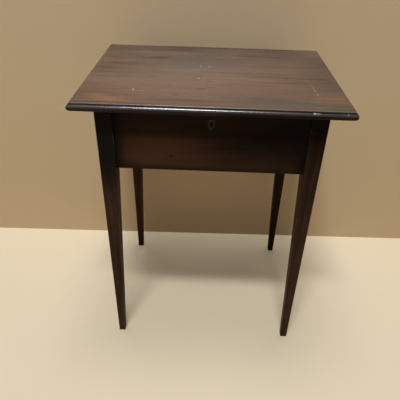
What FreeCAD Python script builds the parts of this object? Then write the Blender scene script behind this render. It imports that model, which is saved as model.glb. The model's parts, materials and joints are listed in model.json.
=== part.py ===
"""Tavern table with a lift-up lid.

Four tapered legs and four pegged aprons make a frame round a boarded well. A moulded lid swings on two
butt hinges, and a box lock in the front apron holds it shut.

Millimetres. +X is to the right seen from the front, +Y to the back, +Z up. The origin is on the floor,
under the middle of the lid.
"""
import FreeCAD, Part
import math
import os
import re
import Sketcher

SIZES = (
    ("table_height", 737, "floor to the top of the lid"),
    ("lid_length", 610, "lid, left to right"),
    ("lid_depth", 460, "lid, front to back"),
    ("lid_thick", 19, "lid"),
    ("lid_rear_width", 222, "rear board of the lid, back edge to glue line"),
    ("nose_radius", 8, "half-round nose of the lid's edge"),
    ("step_inset", 6, "lid's edge to the step above its nose"),
    ("overhang_side", 51, "lid past the legs at each side"),
    ("overhang_front", 26, "lid past the front legs"),
    ("overhang_rear", 20, "lid past the rear legs"),
    ("leg_size", 38, "square section of a leg beside the aprons"),
    ("foot_size", 18, "square section of a leg at the floor"),
    ("apron_height", 147, "apron, upper to lower edge"),
    ("apron_thick", 20, "apron"),
    ("apron_setback", 3, "leg's face to the apron's face"),
    ("tenon_length", 20, "tenon, shoulder to end"),
    ("tenon_thick", 8, "tenon"),
    ("tenon_top_shoulder", 16, "apron's upper edge to the tenon"),
    ("tenon_foot_shoulder", 10, "apron's lower edge to the tenon"),
    ("mortise_fit", 0.15, "room round a tenon"),
    ("peg_radius", 3.2, "peg of a joint, middle to corner"),
    ("peg_length", 24, "peg of a joint"),
    ("peg_inset", 24, "tenon's edge to the peg"),
    ("peg_fit", 0.05, "room round a peg"),
    ("ledger_wide", 14, "ledger strip, from the apron inwards"),
    ("ledger_tall", 16, "ledger strip"),
    ("ledger_rise", 2, "apron's lower edge to the ledger strip"),
    ("ledger_gap", 1, "ledger strip's end to the next piece"),
    ("nail_length", 26, "cut nail of a ledger strip"),
    ("nail_thick", 2, "cut nail"),
    ("nail_head", 3.4, "cut nail's width at its head"),
    ("nail_tip", 1.4, "cut nail's width at its tip"),
    ("nail_inset", 60, "leg to the nearest nail"),
    ("nail_fit", 0.05, "room round a nail"),
    ("floor_thick", 11, "floor board of the well"),
    ("floor_gap", 0.6, "room at each edge of a floor board"),
    ("batten_inset", 41, "leg's inner face to a batten's middle line"),
    ("batten_wide", 42, "batten under the lid"),
    ("batten_thick", 16, "batten under the lid"),
    ("batten_bevel", 10, "bevel at a batten's ends"),
    ("batten_room", 18, "batten's end to the apron"),
    ("hinge_inset", 26, "leg's inner face to a hinge's end"),
    ("hinge_length", 50, "hinge, along its pin"),
    ("leaf_wide", 15, "hinge leaf, apron's rear face to the leaf's front edge"),
    ("leaf_thick", 1.8, "hinge leaf"),
    ("leaf_gap", 0.2, "hinge leaf to the plane of the pin"),
    ("leaf_fit", 0.3, "room at the ends of a let-in plate"),
    ("knuckle_radius", 3.8, "hinge knuckle"),
    ("knuckle_gap", 0.3, "between hinge knuckles, and knuckle to the other leaf"),
    ("knuckle_room", 0.4, "hinge knuckle to the groove in the lid"),
    ("hinge_standoff", 0.5, "hinge knuckle to the apron's rear face"),
    ("pin_radius", 1.75, "hinge pin"),
    ("pin_fit", 0.05, "room round a hinge pin"),
    ("lock_wide", 68, "lock's back plate"),
    ("lock_tall", 44, "lock's back plate"),
    ("lock_plate", 1.6, "metal of the lock's plates"),
    ("selvedge_deep", 12.5, "lock's upper plate, from the back plate forwards"),
    ("case_wide", 50, "lock case"),
    ("case_tall", 33, "lock case"),
    ("case_deep", 10, "lock case"),
    ("case_wall", 1, "lock case"),
    ("case_fit", 0.2, "room round the lock case"),
    ("bolt_length", 37, "lock bolt's bar"),
    ("bolt_bar", 6, "height of the lock bolt's bar"),
    ("bolt_thick", 2.5, "lock bolt"),
    ("finger_wide", 4, "upright of a finger of the bolt"),
    ("finger_tall", 7.5, "finger above the bolt's bar"),
    ("finger_reach", 4.5, "tip of a finger past its upright"),
    ("finger_tip", 3, "height of a finger's tip"),
    ("finger_room", 1.5, "finger's tip to the eye, unlocked"),
    ("finger_stop", 0.5, "finger's upright to the eye, locked"),
    ("talon_x", 18.5, "bolt's left end to the notch for the key"),
    ("talon_wide", 5.5, "notch for the key"),
    ("talon_deep", 1.5, "notch for the key"),
    ("guide_radius", 1.1, "guide pin of the bolt"),
    ("guide_play", 0.1, "room round a guide pin in its slot"),
    ("guide_x", 2.5, "bolt's end to its guide slot"),
    ("post_radius", 1.4, "key post"),
    ("post_proud", 1, "key post past the lock case"),
    ("spring_thick", 0.6, "hairpin spring"),
    ("spring_wide", 4, "hairpin spring"),
    ("spring_reach", 14, "hairpin spring, bend to tips"),
    ("spring_gap", 0.3, "hairpin spring to the bolt and the case's side"),
    ("link_length", 52, "link plate under the lid"),
    ("link_wide", 13, "link plate under the lid"),
    ("link_thick", 1.6, "link plate under the lid"),
    ("eye_pitch", 24, "between the eyes of the link plate"),
    ("eye_thick", 2, "eye, along the bolt"),
    ("eye_wide", 6, "eye, across the bolt"),
    ("eye_wall", 1.4, "eye, metal beside its hole"),
    ("eye_hole", 4.6, "height of an eye's hole"),
    ("eye_drop", 7, "lid's underside to the middle of an eye's hole"),
    ("eye_fit", 0.7, "room round an eye in its slot"),
    ("inlay_wide", 15, "keyhole inlay"),
    ("inlay_tall", 26, "keyhole inlay"),
    ("inlay_point", 17, "height of the inlay's pointed part"),
    ("inlay_thick", 2, "keyhole inlay"),
    ("inlay_drop", 19, "lid's underside to the inlay's top"),
    ("inlay_fit", 0.1, "room round the inlay"),
    ("keyhole_wide", 8, "keyhole in the inlay and the apron"),
    ("keyhole_tall", 17, "keyhole in the inlay and the apron"),
    ("keyhole_point", 11, "height of the keyhole's pointed part"),
    ("keyhole_inset", 1.8, "inlay's top to the keyhole's top"),
    ("key_inset", 3.7, "keyhole's top to the middle of the key post"),
    ("key_wide", 5.6, "keyhole in the lock case"),
    ("key_drop", 8.5, "middle of the key post to the foot of the case's keyhole"),
    ("screw_fit", 0.05, "room round a screw"),
    ("slot_wide", 0.8, "slot of a screw's head"),
    ("slot_deep", 0.7, "slot of a screw's head"),
    ("hinge_screw_head", 3, "radius of a hinge screw's head"),
    ("hinge_screw_shank", 1.5, "radius of a hinge screw"),
    ("hinge_screw_length", 13, "hinge screw"),
    ("hinge_screw_pitch", 18, "between the screws of a hinge leaf"),
    ("lock_screw_head", 2.2, "radius of a lock screw's head"),
    ("lock_screw_shank", 1.1, "radius of a lock screw"),
    ("lock_screw_length", 9, "lock screw"),
    ("lock_screw_drop", 26, "lid's underside to the screws in the lock's back plate"),
    ("batten_screw_head", 4, "radius of a batten screw's head"),
    ("batten_screw_shank", 2.1, "radius of a batten screw"),
    ("batten_screw_length", 28, "batten screw"),
    ("batten_screw_inset", 40, "batten's end to its nearest screw"),
)
ALIASES = {alias for alias, size, note in SIZES}

# Places that several pieces share, as formulas of the sizes
UNDERSIDE = "(table_height - lid_thick)"
APRON_FOOT = f"({UNDERSIDE} - apron_height)"
SIDE = "(lid_length / 2 - overhang_side)"
FRONT = "(overhang_front - lid_depth / 2)"
REAR = "(lid_depth / 2 - overhang_rear)"
MIDDLE = f"(({FRONT} + {REAR}) / 2)"
FRAME_DEPTH = f"({REAR} - {FRONT})"
LONG_SPAN = f"(2 * {SIDE} - 2 * leg_size)"
SHORT_SPAN = f"({FRAME_DEPTH} - 2 * leg_size)"
APRON_DEEP = "(apron_setback + apron_thick)"
TENON_IN = "((apron_thick - tenon_thick) / 2)"
PEG_LINE = "(leg_size - tenon_length / 2)"
PEG_HEIGHTS = ("(tenon_foot_shoulder + peg_inset)", "(apron_height - tenon_top_shoulder - peg_inset)")
LEDGER_MIDDLE = "(ledger_rise + ledger_tall / 2)"
SEAM = "(lid_depth / 2 - lid_rear_width)"
STEP_FOOT = f"({UNDERSIDE} + nose_radius + sqrt(nose_radius ^ 2 - (nose_radius - step_inset) ^ 2))"
BATTEN_LENGTH = f"({FRAME_DEPTH} - 2 * ({APRON_DEEP} + batten_room))"
BATTEN_X = f"({SIDE} - leg_size - batten_inset)"
HINGE_X = f"({SIDE} - leg_size - hinge_inset - hinge_length / 2)"
PIN_Y = f"({REAR} - apron_setback + hinge_standoff + knuckle_radius)"
LEAF_REACH = "(knuckle_radius + hinge_standoff + leaf_wide)"
LEAF_LEVEL = "(leaf_gap + leaf_thick)"
APRON_FACE = f"({FRONT} + apron_setback)"
LOCK_BACK = f"({FRONT} + {APRON_DEEP})"
CASE_BACK = f"({LOCK_BACK} - lock_plate)"
CASE_TOP = f"({UNDERSIDE} - lock_plate)"
BOLT_Y = f"({CASE_BACK} - case_deep / 2)"
BOLT_X = "(0 - eye_pitch / 2 - eye_thick / 2 - finger_room - finger_reach - finger_wide)"
EYE_Z = f"({UNDERSIDE} - eye_drop)"
BOLT_Z = f"({EYE_Z} + finger_tip / 2 - finger_tall - bolt_bar)"
INLAY_TOP = f"({UNDERSIDE} - inlay_drop)"
KEY_Z = f"({INLAY_TOP} - keyhole_inset - key_inset)"
LOCK_SCREW_X = "((lock_wide + case_wide) / 4)"
LINK_SCREW_X = "((link_length / 2 + eye_pitch / 2 + eye_thick / 2) / 2)"
EYES = ("(0 - eye_pitch / 2)", "(eye_pitch / 2)")
GUIDE_SLOT = "(finger_reach + finger_room - finger_stop + 2 * guide_radius + 2 * guide_play)"
GUIDE_STARTS = ("guide_x", f"(bolt_length - guide_x - {GUIDE_SLOT})")

# Corners and sides of the frame: name, turn about Z in degrees, place
CORNERS = (
    ("front_left", 0, f"-{SIDE}", FRONT),
    ("front_right", 90, SIDE, FRONT),
    ("rear_right", 180, SIDE, REAR),
    ("rear_left", 270, f"-{SIDE}", REAR),
)
SIDES = (
    ("front", 0, "0", APRON_FACE, LONG_SPAN),
    ("right", 90, f"({SIDE} - apron_setback)", MIDDLE, SHORT_SPAN),
    ("rear", 180, "0", f"({REAR} - apron_setback)", LONG_SPAN),
    ("left", 270, f"(apron_setback - {SIDE})", MIDDLE, SHORT_SPAN),
)
KNUCKLES = 3
PEG_SIDES = 8
SCREW_SIDES = 12
OVERCUT = "2"

AXIS_X = FreeCAD.Vector(1, 0, 0)
AXIS_Y = FreeCAD.Vector(0, 1, 0)
AXIS_Z = FreeCAD.Vector(0, 0, 1)
UPRIGHT = FreeCAD.Rotation()
UPSIDE_DOWN = FreeCAD.Rotation(AXIS_X, 180)
TO_FRONT = FreeCAD.Rotation(AXIS_X, -90)
ALONG_X = FreeCAD.Rotation(AXIS_Y, 90)
ALONG_Y = FreeCAD.Rotation(AXIS_X, -90)
Y_TO_Z = FreeCAD.Rotation(AXIS_X, 90)

doc = FreeCAD.newDocument("TavernTable")
sheet = doc.addObject("Spreadsheet::Sheet", "Sizes")
nodes = {}


def fill_sheet():
    """One row for each size: what it is, and its value under its alias."""
    for row, (alias, size, note) in enumerate(SIZES, 1):
        sheet.set(f"A{row}", note)
        sheet.set(f"B{row}", str(size))
        sheet.setAlias(f"B{row}", alias)
    doc.recompute()


def tie(item, prop, formula):
    """Binds a property to a formula of the sheet's sizes."""
    item.setExpression(prop, re.sub(r"[a-z]\w*", lambda word: on_sheet(word[0]), formula))


def on_sheet(word):
    return f"Sizes.{word}" if word in ALIASES else word


def number(formula):
    """What a formula comes to with the sizes as they are."""
    return float(sheet.evalExpression(formula))


def place(item, at, turn=UPRIGHT):
    item.Placement = FreeCAD.Placement(FreeCAD.Vector(), turn)
    for axis, formula in zip("xyz", at):
        tie(item, f"Placement.Base.{axis}", formula)
    return item


def about_z(degrees):
    return FreeCAD.Rotation(AXIS_Z, degrees)


def keep(name, item):
    """Makes an item one of the table's pieces, under its own label."""
    item.Label = name
    nodes[name] = item
    return item


def box(name, low, high):
    """A block between two opposite corners."""
    block = doc.addObject("Part::Box", name)
    for prop, near, far in zip(("Length", "Width", "Height"), low, high):
        tie(block, prop, f"({far}) - ({near})")
    return place(block, low)


def rod(name, radius, length, start, turn):
    """A cylinder that runs from its start along the turned Z axis."""
    bar = doc.addObject("Part::Cylinder", name)
    tie(bar, "Radius", radius)
    tie(bar, "Height", length)
    return place(bar, start, turn)


def copies(name, item, places):
    """Links to one item, each at its own place and turn, as one group."""
    links = []
    for count, (at, turn) in enumerate(places, 1):
        link = doc.addObject("App::Link", f"{name}_{count}")
        link.setLink(item)
        link.LinkTransform = False
        links.append(place(link, at, turn))
    return group(name, links)


def group(name, items):
    bundle = doc.addObject("Part::Compound", name)
    bundle.Links = items
    return bundle


def fuse(name, items):
    joined = doc.addObject("Part::MultiFuse", name)
    joined.Shapes = items
    return joined


def cut(name, base, tools):
    trimmed = doc.addObject("Part::Cut", name)
    trimmed.Base = base
    trimmed.Tool = tools[0] if len(tools) == 1 else fuse(f"{name}_tools", tools)
    return trimmed


def new_body(name):
    return doc.addObject("PartDesign::Body", name)


def sketch(body, name, role, level="0"):
    """An empty sketch on one of the body's origin planes, raised along the plane's normal."""
    drawing = body.newObject("Sketcher::SketchObject", f"{body.Name}_{name}")
    plane = next(item for item in body.Origin.OriginFeatures if item.Role == role)
    drawing.AttachmentSupport = (plane, [""])
    drawing.MapMode = "FlatFace"
    tie(drawing, "AttachmentOffset.Base.z", level)
    return drawing


def hold(drawing, kind, formula, *ends):
    """A named dimension of a sketch, bound to its formula."""
    index = drawing.addConstraint(Sketcher.Constraint(kind, *ends, number(formula)))
    name = f"size_{index}"
    drawing.renameConstraint(index, name)
    tie(drawing, f"Constraints.{name}", formula)


def hold_point(drawing, edge, end, x, y):
    hold(drawing, "DistanceX", x, -1, 1, edge, end)
    hold(drawing, "DistanceY", y, -1, 1, edge, end)


def outline(drawing, *corners):
    """A closed outline, drawn counter-clockwise. A corner (x, y) starts a straight edge. A corner
    (x, y, radius) starts an arc that swells outwards, and (x, y, radius, "in") one that swells inwards."""
    first = drawing.GeometryCount
    starts = []
    ends = []
    for corner, after in zip(corners, corners[1:] + corners[:1]):
        here = FreeCAD.Vector(number(corner[0]), number(corner[1]), 0)
        there = FreeCAD.Vector(number(after[0]), number(after[1]), 0)
        inward = len(corner) == 4
        if len(corner) == 2:
            edge = Part.LineSegment(here, there)
        elif inward:
            edge = arc(there, here, number(corner[2]))
        else:
            edge = arc(here, there, number(corner[2]))
        drawing.addGeometry(edge)
        starts.append(2 if inward else 1)
        ends.append(1 if inward else 2)
    count = len(corners)
    for index, corner in enumerate(corners):
        after = (index + 1) % count
        drawing.addConstraint(
            Sketcher.Constraint("Coincident", first + index, ends[index], first + after, starts[after]))
        hold_point(drawing, first + index, starts[index], corner[0], corner[1])
        if len(corner) > 2:
            hold(drawing, "Radius", corner[2], first + index)
    return drawing


def arc(start, end, radius):
    """Counter-clockwise arc of under half a turn."""
    chord = end - start
    middle = start + chord * 0.5
    across = FreeCAD.Vector(-chord.y, chord.x, 0).normalize()
    centre = middle + across * (max(radius ** 2 - (chord.Length / 2) ** 2, 0) ** 0.5)
    first = (start - centre).getAngle(AXIS_X) * (1 if start.y >= centre.y else -1)
    last = (end - centre).getAngle(AXIS_X) * (1 if end.y >= centre.y else -1)
    return Part.ArcOfCircle(Part.Circle(centre, AXIS_Z, radius), first, last)


def rectangle(drawing, low, high):
    return outline(drawing, low, (high[0], low[1]), high, (low[0], high[1]))


def polygon(drawing, sides, radius, x="0", y="0"):
    """A regular outline, with its first side square to the drawing's X axis."""
    corners = []
    for count in range(sides):
        angle = (2 * count - 1) * math.pi / sides
        across = f"{x} + ({radius}) * {math.cos(angle):.6f}"
        up = f"{y} + ({radius}) * {math.sin(angle):.6f}"
        corners.append((across, up))
    return outline(drawing, *corners)


def feature(kind, body, drawing, length, back=False, centred=False):
    """Pads or pockets a sketch. A pad goes along the sketch's normal and a pocket against it, unless turned
    back."""
    made = body.newObject(f"PartDesign::{kind}", f"{drawing.Name}_{kind.lower()}")
    made.Profile = drawing
    made.Reversed = back
    made.SideType = "Symmetric" if centred else "One side"
    tie(made, "Length", length)
    return made


def pad(body, drawing, length, back=False, centred=False):
    return feature("Pad", body, drawing, length, back, centred)


def pocket(body, drawing, length, back=False, centred=False):
    return feature("Pocket", body, drawing, length, back, centred)


def make_legs():
    """Square posts beside the aprons, tapered on the two inner faces below them. A leg's outer corner is
    its origin."""
    tenon = f"(apron_setback + {TENON_IN})"
    low = (f"{tenon} - mortise_fit", f"{APRON_FOOT} + tenon_foot_shoulder - mortise_fit")
    high = (f"{tenon} + tenon_thick + mortise_fit", f"{UNDERSIDE} - tenon_top_shoulder + mortise_fit")
    outside = f"leg_size + {OVERCUT}"
    for name, degrees, x, y in CORNERS:
        body = new_body(f"leg_{name}")
        post = rectangle(sketch(body, "post", "XY_Plane"), ("0", "0"), ("leg_size", "leg_size"))
        pad(body, post, UNDERSIDE)
        for role, back in (("XZ_Plane", False), ("YZ_Plane", True)):
            taper = sketch(body, f"taper_{role[:2].lower()}", role)
            outline(taper, ("foot_size", "0"), (outside, "0"), (outside, APRON_FOOT),
                    ("leg_size", APRON_FOOT))
            pocket(body, taper, "leg_size", back)
        pocket(body, rectangle(sketch(body, "mortise_x", "YZ_Plane", "leg_size"), low, high),
               "tenon_length + mortise_fit")
        pocket(body, rectangle(sketch(body, "mortise_y", "XZ_Plane", "-leg_size"), low, high),
               "tenon_length + mortise_fit", back=True)
        for role, back in (("XZ_Plane", False), ("YZ_Plane", True)):
            holes = sketch(body, f"pegs_{role[:2].lower()}", role)
            for height in PEG_HEIGHTS:
                polygon(holes, PEG_SIDES, "peg_radius + peg_fit", PEG_LINE, f"{APRON_FOOT} + {height}")
            pocket(body, holes, "peg_length + peg_fit", back)
        place(body, (x, y, "0"), about_z(degrees))
        keep(f"leg_{name}", body)


def make_pegs():
    """The four whittled pegs of one corner, copied to all corners."""
    corner = new_body("corner_pegs")
    for role, back in (("XZ_Plane", True), ("YZ_Plane", False)):
        ends = sketch(corner, f"ends_{role[:2].lower()}", role)
        for height in PEG_HEIGHTS:
            polygon(ends, PEG_SIDES, "peg_radius", PEG_LINE, f"{APRON_FOOT} + {height}")
        pad(corner, ends, "peg_length", back)
    keep("tenon_pegs", copies("pegs", corner, [((x, y, "0"), about_z(turn)) for name, turn, x, y in CORNERS]))


def nail_plan(body, span, grow):
    """Three tapered cut nails along one side of the frame, seen from above, grown all round."""
    plan = sketch(body, "nails", "XY_Plane", LEDGER_MIDDLE)
    head = f"(nail_head / 2 + {grow})"
    tip = f"(nail_tip / 2 + {grow})"
    inner = "(apron_thick + ledger_wide)"
    end = f"({inner} - nail_length - {grow})"
    for line in (f"(nail_inset - {span} / 2)", "0", f"({span} / 2 - nail_inset)"):
        outline(plan, (f"{line} - {tip}", end), (f"{line} + {tip}", end), (f"{line} + {head}", inner),
                (f"{line} - {head}", inner))
    return plan


def make_aprons():
    """Boards with a tenon at each end. An apron's origin is at the middle of its outer face's lower edge,
    with its own Y axis pointing into the well."""
    for name, degrees, x, y, span in SIDES:
        body = new_body(f"apron_{name}_board")
        half = f"({span} / 2)"
        board = rectangle(sketch(body, "face", "XZ_Plane"), (f"-{half}", "0"), (half, "apron_height"))
        pad(body, board, "apron_thick", back=True)
        reach = f"({half} + tenon_length)"
        tenons = rectangle(sketch(body, "tenons", "XZ_Plane", f"-{TENON_IN}"),
                           (f"-{reach}", "tenon_foot_shoulder"), (reach, "apron_height - tenon_top_shoulder"))
        pad(body, tenons, "tenon_thick", back=True)
        pegs = sketch(body, "pegs", "XZ_Plane")
        for line in (f"(0 - {half} - tenon_length / 2)", f"({half} + tenon_length / 2)"):
            for height in PEG_HEIGHTS:
                polygon(pegs, PEG_SIDES, "peg_radius + peg_fit", line, height)
        pocket(body, pegs, "apron_thick")
        pocket(body, nail_plan(body, span, "nail_fit"), "nail_thick + 2 * nail_fit", centred=True)
        place(body, (x, y, APRON_FOOT), about_z(degrees))
        nodes[f"apron_{name}"] = body


def make_ledgers():
    """Strips nailed inside the aprons, on the aprons' own axes. The long ones stop at the legs, and the
    short ones at the long ones or the legs, whichever reach further in."""
    short_end = f"(max(leg_size; {APRON_DEEP} + ledger_wide) - leg_size + ledger_gap)"
    for name, degrees, x, y, span in SIDES:
        end = "ledger_gap" if span == LONG_SPAN else short_end
        body = new_body(f"ledger_{name}")
        low = (f"{end} - {span} / 2", "ledger_rise")
        high = (f"{span} / 2 - {end}", "ledger_rise + ledger_tall")
        strip = rectangle(sketch(body, "face", "XZ_Plane", "-apron_thick"), low, high)
        pad(body, strip, "ledger_wide", back=True)
        pocket(body, nail_plan(body, span, "nail_fit"), "nail_thick + 2 * nail_fit", centred=True)
        place(body, (x, y, APRON_FOOT), about_z(degrees))
        keep(f"ledger_{name}", body)


def make_nails():
    rows = []
    for name, degrees, x, y, span in SIDES:
        body = new_body(f"nails_{name}")
        pad(body, nail_plan(body, span, "0"), "nail_thick", centred=True)
        rows.append(place(body, (x, y, APRON_FOOT), about_z(degrees)))
    keep("ledger_nails", group("all_nails", rows))


def make_floor():
    """Two boards on the ledger strips, notched round the legs. Drawn from the middle of the well."""
    edge = f"({SIDE} - {APRON_DEEP} - floor_gap)"
    notch = f"({SIDE} - leg_size - floor_gap)"
    front = f"({APRON_DEEP} + floor_gap - {FRAME_DEPTH} / 2)"
    leg = f"(leg_size + floor_gap - {FRAME_DEPTH} / 2)"
    for name, degrees in (("front", 0), ("rear", 180)):
        body = new_body(f"floor_board_{name}")
        shape = outline(sketch(body, "plan", "XY_Plane"), (f"-{notch}", front), (notch, front), (notch, leg),
                        (edge, leg), (edge, "-floor_gap / 2"), (f"-{edge}", "-floor_gap / 2"),
                        (f"-{edge}", leg), (f"-{notch}", leg))
        pad(body, shape, "floor_thick")
        place(body, ("0", MIDDLE, f"{APRON_FOOT} + ledger_rise + ledger_tall"), about_z(degrees))
        keep(f"floor_board_{name}", body)


def lid_profile(name, role, half, length):
    """The lid's moulded section, drawn through the whole lid and run out past its ends."""
    body = new_body(name)
    flat = f"({half} - nose_radius)"
    step = f"({half} - step_inset)"
    section = outline(sketch(body, "section", role), (flat, UNDERSIDE, "nose_radius"), (step, STEP_FOOT),
                      (step, "table_height"), (f"-{step}", "table_height"),
                      (f"-{step}", STEP_FOOT, "nose_radius"), (f"-{flat}", UNDERSIDE))
    pad(body, section, f"{length} + lid_thick", centred=True)
    return body


def make_lid_boards(front_tools, rear_tools):
    """The moulding runs round all four edges and meets at mitres, where the two sections cross."""
    blank = doc.addObject("Part::Common", "lid_blank")
    blank.Base = lid_profile("lid_side_section", "YZ_Plane", "lid_depth / 2", "lid_length")
    blank.Tool = lid_profile("lid_front_section", "XZ_Plane", "lid_length / 2", "lid_depth")
    half = f"(lid_length / 2 + {OVERCUT})"
    edge = f"(lid_depth / 2 + {OVERCUT})"
    low = f"{UNDERSIDE} - {OVERCUT}"
    high = f"table_height + {OVERCUT}"
    behind = box("behind_seam", (f"-{half}", SEAM, low), (half, edge, high))
    before = box("before_seam", (f"-{half}", f"-{edge}", low), (half, SEAM, high))
    keep("lid_front_board", cut("lid_front_cut", blank, [behind, *front_tools]))
    keep("lid_rear_board", cut("lid_rear_cut", blank, [before, *rear_tools]))


def make_battens(bores):
    for name, side in (("left", "-"), ("right", "")):
        body = new_body(f"batten_{name}_blank")
        half = f"({BATTEN_LENGTH} / 2)"
        short = f"({half} - batten_bevel)"
        bevel = "batten_bevel - batten_thick"
        section = outline(sketch(body, "section", "YZ_Plane"), (f"-{short}", "-batten_thick"),
                          (short, "-batten_thick"), (half, bevel), (half, "0"), (f"-{half}", "0"),
                          (f"-{half}", bevel))
        pad(body, section, "batten_wide", centred=True)
        place(body, (f"{side}{BATTEN_X}", MIDDLE, UNDERSIDE))
        keep(f"lid_batten_{name}", cut(f"batten_{name}_cut", body, [bores]))


def prism(name, radius, low, high):
    """An upright bar with as many sides as a screw, two of them square to the X axis."""
    bar = doc.addObject("Part::Prism", name)
    bar.Polygon = SCREW_SIDES
    tie(bar, "Circumradius", radius)
    tie(bar, "Height", f"({high}) - ({low})")
    return place(bar, ("0", "0", low), about_z(180 / SCREW_SIDES))


def cone(name, wide, narrow, low, high):
    """The same sides sloping in from a wide top, crossed from four-sided blocks turned about the Z axis."""
    flat = math.cos(math.pi / SCREW_SIDES)
    upper = f"{flat:.6f} * {wide}"
    lower = f"{flat:.6f} * {narrow}"
    blocks = []
    for count in range(SCREW_SIDES // 4):
        block = doc.addObject("Part::Wedge", f"{name}_{count}")
        for side, sign in (("min", "-"), ("max", "")):
            for axis in "XZ":
                tie(block, f"{axis}{side}", f"{sign}{lower}")
                tie(block, f"{axis}2{side}", f"{sign}{upper}")
        tie(block, "Ymin", low)
        tie(block, "Ymax", high)
        blocks.append(place(block, ("0", "0", "0"), about_z(count * 360 / SCREW_SIDES) * Y_TO_Z))
    crossed = doc.addObject("Part::MultiCommon", name)
    crossed.Shapes = blocks
    return crossed


def screw_form(name, head, shank, length):
    """A countersunk head and a blunt shank, head up, with the top of the head at the origin."""
    return [prism(f"{name}_shank", shank, f"-{length}", "0"),
            cone(f"{name}_head", head, shank, f"{shank} - {head}", "0")]


def make_screw(name, kind):
    """A slotted screw."""
    pieces = screw_form(name, f"{kind}_screw_head", f"{kind}_screw_shank", f"{kind}_screw_length")
    reach = f"2 * {kind}_screw_head"
    half = "slot_wide / 2"
    slot = box(f"{name}_slot", (f"-{reach}", f"-{half}", "-slot_deep"), (reach, half, OVERCUT))
    return cut(name, fuse(f"{name}_blank", pieces), [slot])


def make_bore(name, kind):
    """The hole that such a screw sits in, open above its head."""
    head = f"({kind}_screw_head + screw_fit)"
    pieces = screw_form(name, head, f"({kind}_screw_shank + screw_fit)", f"({kind}_screw_length + screw_fit)")
    return fuse(name, [*pieces, prism(f"{name}_mouth", head, "0", OVERCUT)])


def make_screws(node, screw, bore, places):
    """A group of screws as one piece, and the same group of bores to cut with."""
    keep(node, copies(f"{node}_set", screw, places))
    return copies(f"{node}_bores", bore, places)


def leaf(name, upper, bores):
    """A hinge leaf about its pin: a plate and every second knuckle. The lid's leaf lies above the pin."""
    low, high = ("leaf_gap", LEAF_LEVEL) if upper else (f"-{LEAF_LEVEL}", "-leaf_gap")
    half = "(hinge_length / 2)"
    edge = "(knuckle_radius + knuckle_gap)"
    pieces = [box(f"{name}_plate", (f"-{half}", f"-{LEAF_REACH}", low), (half, f"-{edge}", high))]
    for count in range(1 if upper else 0, KNUCKLES, 2):
        before = "knuckle_gap / 2" if count else "0"
        after = "knuckle_gap / 2" if count + 1 < KNUCKLES else "0"
        start = f"({count} * hinge_length / {KNUCKLES} - {half} + {before})"
        end = f"({count + 1} * hinge_length / {KNUCKLES} - {half} - {after})"
        pieces.append(box(f"{name}_arm_{count}", (start, f"-{edge}", low), (end, "0", high)))
        pieces.append(rod(f"{name}_knuckle_{count}", "knuckle_radius", f"{end} - {start}",
                          (start, "0", "0"), ALONG_X))
    bore = rod(f"{name}_bore", "pin_radius + pin_fit", f"hinge_length + 2 * {OVERCUT}",
               (f"-{half} - {OVERCUT}", "0", "0"), ALONG_X)
    return cut(f"{name}_cut", fuse(f"{name}_blank", pieces), [bore, bores])


def make_hinges():
    """Two butt hinges, and the tools that let them into the rear apron and the lid."""
    screw = make_screw("hinge_screw", "hinge")
    bore = make_bore("hinge_bore", "hinge")
    rows = ("-hinge_screw_pitch", "0", "hinge_screw_pitch")
    line = "(0 - knuckle_radius - hinge_standoff - leaf_wide / 2)"
    down = [((row, line, "-leaf_gap"), UPRIGHT) for row in rows]
    up = [((row, line, "leaf_gap"), UPSIDE_DOWN) for row in rows]
    lower_bores = copies("lower_leaf_bores", bore, down)
    upper_bores = copies("upper_leaf_bores", bore, up)
    places = [((f"{side}{HINGE_X}", PIN_Y, UNDERSIDE), UPRIGHT) for side in ("-", "")]
    for name, (at, turn) in zip(("left", "right"), places):
        keep(f"hinge_{name}_frame_leaf", place(leaf(f"lower_{name}", False, lower_bores), at))
        keep(f"hinge_{name}_lid_leaf", place(leaf(f"upper_{name}", True, upper_bores), at))
        start = (f"{at[0]} - hinge_length / 2", at[1], at[2])
        keep(f"hinge_{name}_pin", rod(f"pin_{name}", "pin_radius", "hinge_length", start, ALONG_X))
    keep("hinge_frame_screws", copies("frame_screws", copies("lower_leaf_screws", screw, down), places))
    keep("hinge_lid_screws", copies("lid_screws", copies("upper_leaf_screws", screw, up), places))
    half = "(hinge_length / 2 + leaf_fit)"
    front = f"(0 - {LEAF_REACH} - leaf_fit)"
    apron_seat = box("apron_seat", (f"-{half}", front, f"-{LEAF_LEVEL}"), (half, "0", OVERCUT))
    lid_seat = box("lid_seat", (f"-{half}", front, f"-{OVERCUT}"), (half, "0", LEAF_LEVEL))
    groove = rod("lid_groove", "knuckle_radius + knuckle_room", "hinge_length + 2 * leaf_fit",
                 (f"-{half}", "0", "0"), ALONG_X)
    apron_tool = copies("hinge_apron_tool", fuse("apron_seat_tool", [apron_seat, lower_bores]), places)
    lid_tool = copies("hinge_lid_tool", fuse("lid_seat_tool", [lid_seat, groove, upper_bores]), places)
    return apron_tool, lid_tool


def shield(drawing, wide, top, tall, point, grow="0"):
    """Flat top, straight sides and a pointed foot of two arcs, grown all round."""
    half = f"({wide} / 2 + {grow})"
    rise = f"({point} + {grow})"
    upper = f"({top} + {grow})"
    tip = f"({top} - {tall} - {grow})"
    curve = f"(({half} ^ 2 + {rise} ^ 2) / (2 * {half}))"
    return outline(drawing, (half, upper), (f"-{half}", upper), (f"-{half}", f"{tip} + {rise}", curve),
                   ("0", tip, curve), (half, f"{tip} + {rise}"))


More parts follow.
